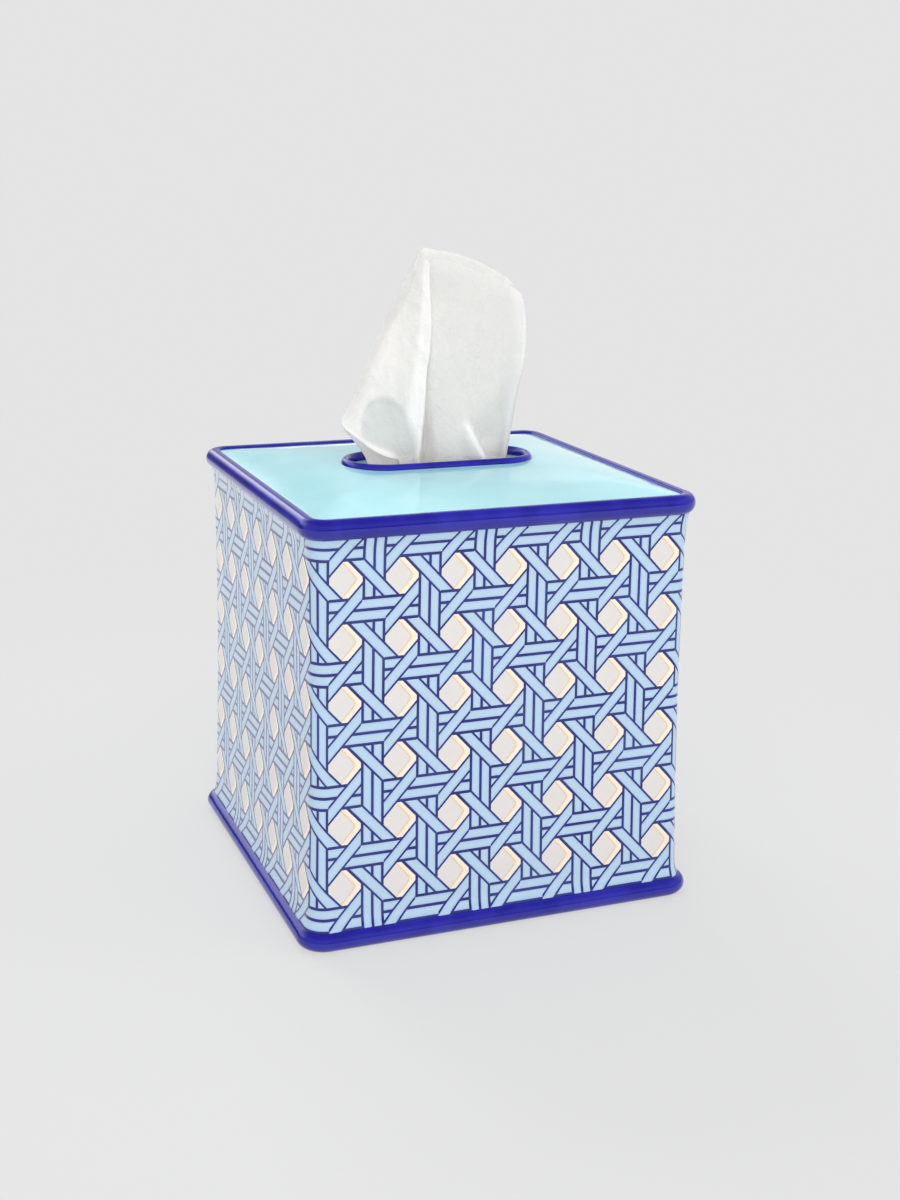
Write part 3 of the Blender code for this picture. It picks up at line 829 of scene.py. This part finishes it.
# The right lobe: its greyer single-ply top, the doubled strip at its edge (lighter, partly a painted
# highlight), and the scooped pleat
LOBE_HEIGHTS = (137, 147)
LOBE_THINNESS = 0.72
LOBE_THINS = (190, 214)
LOBE_THIN_STOPS = (0.8, 0.92)
STRIP_SHARE = 0.75
STRIP_STARTS = (0.76, 0.92)
PLEAT_HEAD = (6.1, 160.4)
PLEAT_LEAN = 0.523
PLEAT_DEPTH = 2.2
PLEAT_EDGE = (-0.2, 3.0)
PLEAT_LIP = 2.2
PLEAT_LIP_WIDTH = 7.0
PLEAT_LIP_EDGE = (-0.5, -0.6)
PLEAT_LIP_GROWS = (-1.5, 9.0)
PLEAT_FOLD_LEFT = (-2.2, -0.8)
PLEAT_FOLD_RIGHT = (0.8, 3.0)
PLEAT_FOLD_GROWS = (-1.0, 3.0)
SCOOP_HEAD = (8.0, 161.3)
SCOOP_RISE = 0.53
SCOOP_UPPER_EDGE = (-4.0, 13.0)
SCOOP_LEVEL_SHARE = 0.7
SCOOP_LEVELS = (3, 13)
# The single-ply margin at the left edge, and the back of the cloth
SHEER_STOPS = (0.02, 0.13)
SHEER_STARTS_UP = (156, 164)
SHEER_STOPS_UP = (208, 214)
BACK_SEED = 7.0
BACK_FORWARD = 0.6
BACK_THINNESS = 0.6
BACK_THINS = (200, 214)
BACK_SINGLE = 1.5
BACK_SINGLE_STOPS = (0.15, 0.3)
BACK_SINGLE_STOPS_UP = (152, 165)


def curve_at(values, places, place):
    """A smooth curve through values at rising places."""
    last = len(places) - 1
    k = 0
    while k < last - 1 and place > places[k + 1]:
        k += 1
    step = places[k + 1] - places[k]
    part = min(1.0, max(0.0, (place - places[k]) / step))
    slopes = []
    for m in (k, k + 1):
        before = max(0, m - 1)
        after = min(last, m + 1)
        slopes.append((values[after] - values[before]) / (places[after] - places[before]) * step)
    p2 = part * part
    p3 = p2 * part
    start = (2 * p3 - 3 * p2 + 1) * values[k] + (p3 - 2 * p2 + part) * slopes[0]
    return start + (3 * p2 - 2 * p3) * values[k + 1] + (p3 - p2) * slopes[1]


def cloth_point(folds, across, height):
    shares = [fold[0] for fold in folds]
    xs = [curve_at(fold[2], CLOTH_HEIGHTS, height) for fold in folds]
    ys = [curve_at(fold[3], CLOTH_HEIGHTS, height) for fold in folds]
    return curve_at(xs, shares, across), curve_at(ys, shares, across)


def cloth_top(folds, across):
    return curve_at([fold[1] for fold in folds], [fold[0] for fold in folds], across)


def hem_height(across):
    if across >= HEM_END_SHARE:
        return SPLIT_HEIGHT
    return curve_at([row[1] for row in HEM], [row[0] for row in HEM], across)


def smooth(value, start, stop):
    """0 at start and 1 at stop, eased between them."""
    part = min(1.0, max(0.0, (value - start) / (stop - start)))
    return part * part * (3 - 2 * part)


def fading(value, start, stop):
    return 1 - smooth(value, start, stop)


def crumpled(x, z, seed):
    """How far small wrinkles move the cloth back: none in the slot, most in the left lobe."""
    broad = noise.noise(Vector((x / BROAD_SIZE[0], seed, z / BROAD_SIZE[1])))
    along = (x + z * CREASE_SLANT[0]) / CREASE_SIZE[0]
    upward = (z - x * CREASE_SLANT[1]) / CREASE_SIZE[1]
    crease = abs(noise.noise(Vector((along, seed + 3, upward))))
    fine = noise.noise(Vector((x / FINE_SIZE[0], seed + 5, z / FINE_SIZE[1])))
    left = smooth(-x, *TOWARDS_LEFT)
    crease_depth = CREASE_DEPTH + CREASE_LEFT_DEPTH * left
    fine_depth = FINE_DEPTH + FINE_LEFT_DEPTH * left
    depth = BROAD_DEPTH * broad + crease_depth * crease + fine_depth * fine
    return smooth(z, *FREE_HEIGHTS) * depth


def hollow(x, z):
    """An arched hollow over the hem, open below: 1 inside, 0 outside."""
    below = HOLLOW_TOP[1] - z
    if below <= 0:
        return 0.0
    arch = math.sqrt(1 - (1 - min(1.0, below / HOLLOW_ROUND)) ** 2)
    from_left = x - HOLLOW_TOP[0] + HOLLOW_LEFT * arch
    from_right = HOLLOW_TOP[0] + HOLLOW_RIGHT * arch + HOLLOW_SPREAD * below - x
    sides = smooth(from_left, *HOLLOW_LEFT_EDGE) * smooth(from_right, *HOLLOW_RIGHT_EDGE)
    return sides * smooth(below, *HOLLOW_UPPER_EDGE)


def beyond_pleat(x, z):
    """How far a place lies to the right of the pleat's slanted line."""
    return x - PLEAT_HEAD[0] - PLEAT_LEAN * (PLEAT_HEAD[1] - z)


def scoop(x, z):
    """Beyond the pleat and under its slanted upper edge: 1 inside, 0 outside."""
    below = SCOOP_HEAD[1] + SCOOP_RISE * (x - SCOOP_HEAD[0]) - z
    return smooth(beyond_pleat(x, z), *PLEAT_EDGE) * smooth(below, *SCOOP_UPPER_EDGE)


def pleat(x, z):
    """How far the pleat moves the cloth back; a lip stands out along it, wider below."""
    beyond = beyond_pleat(x, z)
    grown = smooth(PLEAT_HEAD[1] - z, *PLEAT_LIP_GROWS)
    lip_start = -PLEAT_LIP_WIDTH * grown + PLEAT_LIP_EDGE[0]
    lip = smooth(beyond, lip_start, PLEAT_LIP_EDGE[1]) * fading(beyond, *PLEAT_EDGE) * grown
    levelled = 1 - SCOOP_LEVEL_SHARE * smooth(beyond, *SCOOP_LEVELS)
    return PLEAT_DEPTH * scoop(x, z) * levelled - PLEAT_LIP * lip


def pleat_fold(x, z):
    """The doubled cloth along the pleat's lip: 1 inside, 0 outside."""
    beyond = beyond_pleat(x, z)
    grown = smooth(PLEAT_HEAD[1] - z, *PLEAT_FOLD_GROWS)
    return smooth(beyond, *PLEAT_FOLD_LEFT) * fading(beyond, *PLEAT_FOLD_RIGHT) * grown


def sheer_margin(across, height):
    """The single-ply margin along the cloth's left edge: 1 at the edge, 0 inside."""
    upright = smooth(height, *SHEER_STARTS_UP)
    return fading(across, *SHEER_STOPS) * upright * fading(height, *SHEER_STOPS_UP)


def inside_margins(across):
    """0 at the two upright edges, where front and back are joined, and 1 between them."""
    return smooth(across, *LEFT_MARGIN) * fading(across, *RIGHT_MARGIN)


def front_point(across, height):
    """A point of the front cloth, and how greyed, doubled and sheer it is there; the greying is a single
    ply at the tops and painted shade in the hollow, and doubled cloth is lighter, partly as a painted
    highlight.
    """
    x, y = cloth_point(FRONT_FOLDS, across, height)
    if across < LEFT_LOBE_SHARE:
        over_hem = max(0.0, height - hem_height(across))
        at_hem = fading(across, *HEM_STOPS)
        y -= HEM_BEND * math.exp(-over_hem / HEM_BEND_HEIGHT) * at_hem
        ridge_start = RIDGE_SHARE + RIDGE_SHIFT * fading(height, *RIDGE_SHIFTS)
        ridge = smooth(across, ridge_start, ridge_start + RIDGE_EDGE)
        sunk = hollow(x, height) * (1 - ridge)
        y += HOLLOW_DEPTH * sunk * smooth(height, *HOLLOW_DEEPENS)
        # painted shade: the paper in the hollow is greyed, from just over the hem
        hollow_shade = sunk * smooth(over_hem, *HEM_BAND) * smooth(height, *HOLLOW_SHADE_HEIGHTS)
        top_thin = LEFT_THINNESS * smooth(height, *LEFT_THINS) * fading(across, *LEFT_THIN_STOPS)
        thin_and_shade = max(hollow_shade, top_thin)
        ridge *= fading(across, *RIDGE_STOPS) * smooth(height, *RIDGE_STARTS)
        # folded paper is lighter: doubled cloth, partly a painted highlight along the ridge and the hem
        folded = max(ridge, fading(over_hem, *HEM_BAND) * at_hem)
    else:
        free = smooth(height, *LOBE_HEIGHTS)
        y += pleat(x, height) * free
        thin_and_shade = LOBE_THINNESS * smooth(height, *LOBE_THINS) * fading(across, *LOBE_THIN_STOPS)
        strip = STRIP_SHARE * smooth(across, *STRIP_STARTS)
        # folded paper is lighter: doubled cloth, partly a painted highlight along the pleat's lip and
        # the edge strip
        folded = max(pleat_fold(x, height), strip) * free
    y += crumpled(x, height, FRONT_SEED) * inside_margins(across)
    return x, y, height, thin_and_shade, folded, sheer_margin(across, height)


def back_point(across, height):
    x, y = cloth_point(BACK_FOLDS, across, height)
    forward = smooth(height, *FREE_HEIGHTS) * BACK_FORWARD
    y += (crumpled(x, height, BACK_SEED) - forward) * inside_margins(across)
    thin_and_shade = BACK_THINNESS * smooth(height, *BACK_THINS)
    single = fading(across, *BACK_SINGLE_STOPS) * fading(height, *BACK_SINGLE_STOPS_UP)
    return x, y, height, thin_and_shade, -BACK_SINGLE * single, sheer_margin(across, height)


def add_point(shape, layers, point):
    vert = shape.verts.new([value * MM for value in point[:3]])
    for layer, value in zip(layers, point[3:]):
        vert[layer] = value
    return vert


def fill_between(shape, columns):
    """Faces between neighbouring columns, matched from their upper ends down."""
    for left, right in zip(columns, columns[1:]):
        for j in range(min(len(left), len(right)) - 1):
            shape.faces.new((left[j], right[j], right[j + 1], left[j + 1]))


def front_column(across):
    """A column of the front, from its top down to the hem's lip or through the slot to the tail."""
    low = hem_height(across)
    top = cloth_top(FRONT_FOLDS, across)
    fall = low - top
    points = [front_point(across, top + fall * j / UPPER_ROWS) for j in range(UPPER_ROWS + 1)]
    if across >= HEM_END_SHARE:
        step = (TAIL_END - low) / LOWER_ROWS
        return points + [front_point(across, low + step * j) for j in range(1, LOWER_ROWS + 1)]
    x, y, z, _, folded, _ = points[-1]
    radius = LIP_RADIUS * fading(across, *LIP_CLOSED) * smooth(across, *LIP_OPENED)
    for j in range(1, LIP_STEPS + 1):
        turn = math.radians(LIP_TURN_DEGREES) * j / LIP_STEPS
        forward = radius * (1 - math.cos(turn))
        points.append((x, y - forward, z - radius * math.sin(turn), 0.0, folded, 0.0))
    return points


def thickened(cloth):
    """Give a cloth its thickness, half of it to each side."""
    ply = cloth.modifiers.new("ply", "SOLIDIFY")
    ply.thickness = PLY_THICKNESS
    ply.offset = 0.0
    return cloth


def popup_cloth(paper):
    shape = bmesh.new()
    for name in CLOTH_LAYERS:
        shape.verts.layers.float.new(name)
    layers = [shape.verts.layers.float[name] for name in CLOTH_LAYERS]
    front = []
    for i in range(FRONT_COLUMNS + 1):
        front.append([add_point(shape, layers, point) for point in front_column(i / FRONT_COLUMNS)])
    fill_between(shape, front)
    back = []
    for i in range(BACK_COLUMNS + 1):
        across = i / BACK_COLUMNS
        rise = (cloth_top(BACK_FOLDS, across) - TAIL_END) / BACK_ROWS
        points = [back_point(across, TAIL_END + rise * j) for j in range(BACK_ROWS, -1, -1)]
        back.append([add_point(shape, layers, point) for point in points])
    fill_between(shape, back)
    cloth = finished("popup_cloth", shape, [paper], "tissue", "popup_tissue")
    return thickened(cloth)


# Inside the carton
STACK_LEAVES = 12
LEAF_GAP = 0.2 * MM
CLIP_HOLLOW_HALF = 9.0 * MM
CLIP_BEND = 30.0 * MM
CLIP_BEND_STEPS = 8
LEAF_TOP_PLAY = 0.9 * MM
LEAF_END_PLAY = 1.2 * MM
NEXT_STEPS = 40
NEXT_FRONT_GAP = 1.2 * MM
NEXT_BACK_GAP = 0.15 * MM
NEXT_PLY_STEP = 0.45 * MM
NEXT_RIPPLE = 0.35 * MM
RIPPLE_TURN_ACROSS = 9
RIPPLE_TURN_UP = 2


def folded_path(share, top):
    """Half of a leaf's U, from the top of its front arm to the middle of its bend: y and z."""
    outer = clip_high.y
    half = outer + (CLIP_HOLLOW_HALF - outer) * share
    low = clip_low.z + (outer - CLIP_HOLLOW_HALF) * share
    bend = CLIP_BEND + (CLIP_HOLLOW_HALF - CLIP_BEND) * share
    points = [(-half, top), (-half, (top + low + bend) / 2)]
    for i in range(CLIP_BEND_STEPS + 1):
        turn = math.pi / 2 * i / CLIP_BEND_STEPS
        points.append((bend - half - bend * math.cos(turn), low + bend - bend * math.sin(turn)))
    points.append((0.0, low))
    return points


def leaf_noise(leaf, step, seed):
    return noise.noise(Vector((leaf * step, seed, 0.5)))


def tissue_stack(paper):
    """The clip of interleaved tissues: nested leaves, each folded into a U."""
    shape = bmesh.new()
    for leaf in range(STACK_LEAVES):
        top = clip_high.z - LEAF_TOP_PLAY * leaf_noise(leaf, step=3.7, seed=0.5) ** 2
        end = clip_high.x - LEAF_END_PLAY * abs(leaf_noise(leaf, step=2.3, seed=4.5))
        outer = folded_path(leaf / STACK_LEAVES, top)
        inner_share = (leaf + 1) / STACK_LEAVES - LEAF_GAP / (clip_high.y - CLIP_HOLLOW_HALF)
        inner = folded_path(inner_share, top)
        outer += [(-y, z) for y, z in reversed(outer[:-1])]
        inner += [(-y, z) for y, z in reversed(inner[:-1])]
        section = outer + inner[::-1]
        ends = [[shape.verts.new((x, y, z)) for y, z in section] for x in (-end, end)]
        count = len(outer)
        for verts in ends:
            for i in range(count - 1):
                far = 2 * count - 1 - i
                shape.faces.new((verts[i], verts[i + 1], verts[far - 1], verts[far]))
        for i in range(len(section)):
            j = (i + 1) % len(section)
            shape.faces.new((ends[0][i], ends[0][j], ends[1][j], ends[1][i]))
    return finished("tissue_stack", shape, [paper], "carton", "tissue_clip")


def next_fold(paper):
    """The folded head of the following sheet, leaning against the back of the hollow."""
    shape = bmesh.new()
    width = next_high.x - next_low.x
    rise = next_high.z - next_low.z
    lean = next_high.y - next_low.y - NEXT_FRONT_GAP

    def leaf(column, row, layer):
        height = next_low.z + rise * row
        over = max(0.0, (height - clip_high.z) / (next_high.z - clip_high.z))
        y = next_high.y - NEXT_BACK_GAP - lean * math.sin(math.pi / 2 * over) ** 2
        turn = column * RIPPLE_TURN_ACROSS + row * RIPPLE_TURN_UP
        y -= NEXT_RIPPLE * (1 + math.sin(turn)) / 2
        return next_low.x + width * column, y - NEXT_PLY_STEP * layer, height

    shares = [i / NEXT_STEPS for i in range(NEXT_STEPS + 1)]
    for layer in range(2):
        columns = []
        for across in shares:
            columns.append([shape.verts.new(leaf(across, up, layer)) for up in shares])
        fill_between(shape, columns)
    cloth = finished("next_fold", shape, [paper], "carton", "next_tissue")
    return thickened(cloth)


# The stage, the lamps and the camera
BACKDROP = colour(228, 228, 228)
BACKDROP_GLOW_SHARE = 0.72
FLOOR_COLOUR = colour(214, 214, 214)
FLOOR_ROUGHNESS = 0.9
FLOOR_FADE = (0.16, 0.45)
FLOOR_HALF = 6.0
FLOOR_SHINE = 1.4
FLOOR_FLAG_STOPS_X = (-0.45, -0.20)
FLOOR_FLAG_STARTS_Y = (0.4, 0.9)
WORLD_LIGHT = 0.84
# What the glaze mirrors: each pair is a range of a direction's part to the east, north or up
EVEN_SHINE = 0.75
RAISED_SHINE = 0.35
RAISED_UP = ((0.19, 0.33), (0.50, 0.80))
RAISED_NORTH = (0.1, 0.5)
RIM_SHINE = 1.2
RIM_STOPS_EAST = (0.0, 0.09)
LEFT_DIMMING = 0.65
LEFT_EAST = ((0.06, 0.12), (0.20, 0.32))
BACK_SHINE = 1.2
BACK_UP = ((0.09, 0.17), (0.36, 0.50))
BACK_NORTH = (0.4, 0.8)
BACK_EAST = ((-0.24, -0.04), (0.06, 0.16))
HORIZON_SHINE = 0.4
HORIZON_STOPS_UP = (0.02, 0.12)
HORIZON_EAST = (0.30, 0.42)
RIGHT_SHINE = 0.35
RIGHT_EAST = (0.36, 0.42)
RIGHT_UP = ((0.02, 0.12), (0.35, 0.39))
RIGHT_NORTH = (0.4, 0.8)
ZENITH_SHARE = 0.5
ZENITH_UP = (0.55, 0.85)
FLAG_SHARE = 0.78
FLAG_STOPS_EAST = (-0.30, -0.10)
FLAG_NORTH = (0.3, 0.7)
FLAG_STOPS_UP = (0.12, 0.26)
ROOM_SHARE = 0.7
ROOM_STOPS_NORTH = (-0.8, -0.3)
ROOM_STOPS_UP = (0.05, 0.30)
# Each lamp: its name, place, size and power
LAMPS = (
    ("key", (-0.45, -1.2, 0.95), (1.2, 1.2), 14),
    ("fill", (1.3, -0.7, 0.8), (1.0, 1.0), 5),
    ("back", (-0.2, 1.3, 1.1), (0.9, 0.9), 14),
)


def seen_directly(tree):
    """1 for what the camera sees straight, mirrored and through glass."""
    path = node(tree, "LightPath")
    return [Term(tree, path.outputs[f"Is {kind} Ray"]) for kind in ("Camera", "Glossy", "Transmission")]


def backdrop_material():
    """A pale floor: it keeps the object's soft shadow and meets the backdrop without a line."""
    made, tree, shader = new_material("backdrop")
    shader.inputs["Base Color"].default_value = FLOOR_COLOUR
    shader.inputs["Roughness"].default_value = FLOOR_ROUGHNESS
    glow = node(tree, "Emission", Color=BACKDROP)
    straight, mirrored_in, through = seen_directly(tree)
    seen = straight.calc("MAXIMUM", mirrored_in).calc("MAXIMUM", through)
    x, y = split(tree, object_place(tree))[:2]
    flag = opposite(x.eased(*FLOOR_FLAG_STOPS_X)) * y.eased(*FLOOR_FLAG_STARTS_Y)
    mirrored_floor = opposite(flag * FLAG_SHARE) * FLOOR_SHINE
    plug(tree, glow.inputs["Strength"], mirrored_in * mirrored_floor + opposite(mirrored_in))
    distance = node(tree, "VectorMath", Vector=object_place(tree))
    distance.operation = "LENGTH"
    far = Term(tree, distance.outputs["Value"]).eased(*FLOOR_FADE)
    glowing = seen * (far * (1 - BACKDROP_GLOW_SHARE) + BACKDROP_GLOW_SHARE)
    both = mix_shaders(tree, glowing, shader, glow)
    tree.links.new(both.outputs[0], tree.nodes["Material Output"].inputs["Surface"])
    return made


def stage():
    shape = bmesh.new()
    corners = ((-1, -1), (1, -1), (1, 1), (-1, 1))
    shape.faces.new([shape.verts.new((x * FLOOR_HALF, y * FLOOR_HALF, 0)) for x, y in corners])
    placed("floor", mesh_from("floor", shape, [backdrop_material()]))


def world():
    """An even pale studio: glaze mirrors a bright horizon and a dimmer ceiling."""
    made = bpy.data.worlds.new("studio")
    bpy.context.scene.world = made
    made.use_nodes = True
    tree = made.node_tree
    back = tree.nodes["Background"]
    back.inputs["Color"].default_value = BACKDROP
    straight, mirrored_in, through = seen_directly(tree)
    east, north, height = split(tree, node(tree, "TexCoord").outputs["Generated"])
    raised = height.within(*RAISED_UP) * north.eased(*RAISED_NORTH)
    back_light = height.within(*BACK_UP) * north.eased(*BACK_NORTH) * east.within(*BACK_EAST)
    horizon = opposite(height.eased(*HORIZON_STOPS_UP)) * east.eased(*HORIZON_EAST)
    rim = opposite(east.eased(*RIM_STOPS_EAST)) * RIM_SHINE
    left = east.within(*LEFT_EAST)
    right = east.eased(*RIGHT_EAST) * height.within(*RIGHT_UP)
    shine = raised * (rim + left * -LEFT_DIMMING + RAISED_SHINE) + back_light * BACK_SHINE + EVEN_SHINE
    shine = shine + horizon * HORIZON_SHINE + right * north.eased(*RIGHT_NORTH) * RIGHT_SHINE
    shine = shine * opposite(height.eased(*ZENITH_UP) * ZENITH_SHARE)
    flag = opposite(east.eased(*FLAG_STOPS_EAST)) * north.eased(*FLAG_NORTH)
    flag = flag * opposite(height.eased(*FLAG_STOPS_UP))
    room = opposite(north.eased(*ROOM_STOPS_NORTH)) * opposite(height.eased(*ROOM_STOPS_UP))
    shine = shine * opposite(flag * FLAG_SHARE) * opposite(room * ROOM_SHARE)
    directly = straight.calc("MAXIMUM", through)
    others = opposite(directly.calc("MAXIMUM", mirrored_in)) * WORLD_LIGHT
    plug(tree, back.inputs["Strength"], directly + mirrored_in * shine + others)


def lamps():
    """Soft lamps that face the middle of the object and don't show in the glaze."""
    for name, place, size, power in LAMPS:
        lamp = bpy.data.lights.new(name, "AREA")
        lamp.shape = "RECTANGLE"
        lamp.size, lamp.size_y = size
        lamp.energy = power
        made = placed(name, lamp)
        made.location = place
        aim = Vector((0, 0, wall_high.z / 2)) - Vector(place)
        made.rotation_euler = aim.to_track_quat("-Z", "Y").to_euler()
        made.visible_camera = False
        made.visible_glossy = False


def camera():
    azimuth = math.radians(VIEW_AZIMUTH)
    elevation = math.radians(VIEW_ELEVATION)
    roll = math.radians(VIEW_ROLL)
    back = Vector((
        math.sin(azimuth) * math.cos(elevation),
        -math.cos(azimuth) * math.cos(elevation),
        math.sin(elevation),
    ))
    right = (-back).cross(Vector((0, 0, 1))).normalized()
    up = right.cross(-back)
    rolled_right = right * math.cos(roll) + up * math.sin(roll)
    rolled_up = up * math.cos(roll) - right * math.sin(roll)
    turned = Matrix((rolled_right, rolled_up, back)).transposed().to_4x4()
    lens = bpy.data.cameras.new("camera")
    lens.sensor_fit = "VERTICAL"
    lens.sensor_height = SENSOR_HEIGHT_MM
    lens.lens = FOCAL_PX / PICTURE_HEIGHT_PX * SENSOR_HEIGHT_MM
    lens.shift_y = -OPTICAL_AXIS_ABOVE_MIDDLE_PX / PICTURE_HEIGHT_PX
    lens.clip_start = NEAREST_SEEN
    made = placed("camera", lens)
    made.matrix_world = Matrix.Translation(CAMERA_PLACE) @ turned
    bpy.context.scene.camera = made


def finish_cad(names, made):
    for name in names:
        mesh = frame["nodes"][name].data
        mesh.materials.clear()
        mesh.materials.append(made)


cobalt = glazed(
    "cobalt_glaze", COBALT_DEEP, COBALT_THIN, scale=90, detail=4, fade=(0.35, 0.7), roughness=0.05)
inside = glazed(
    "white_glaze", WHITE_GLAZE, WHITE_SPECK, scale=300, detail=5, fade=(0.45, 0.75), roughness=0.12)
paper = tissue_paper()
board = grained(
    "white_board", BOARD, BOARD_FIBRE, scale=2600, detail=4, relief=0.02 * MM, roughness=0.55,
    stretch=(1, 1, 0.4))
biscuit = grained(
    "biscuit", BISCUIT, BISCUIT_GRAIN, scale=1500, detail=6, relief=0.1 * MM, roughness=0.85)

foot_moulding(cobalt, biscuit)
cane_walls(cane_glaze(), inside)
top_moulding(cobalt, inside)
domed_top(aqua_glaze(), inside)
slot_moulding(cobalt)
cloth = popup_cloth(paper)
tissue_stack(paper)
next_cloth = next_fold(paper)
flaps = [name for name in frame["nodes"] if "flap" in name]
finish_cad(["carton_sleeve", "carton_top", *flaps], board)
film = grained(
    "clear_film", FILM, FILM_CRINKLE, scale=90, detail=3, relief=0.6 * MM, roughness=0.12, alpha=0.35)
finish_cad(["slit_film"], film)

stage()
world()
lamps()
camera()
bpy.context.scene.view_settings.view_transform = "Standard"
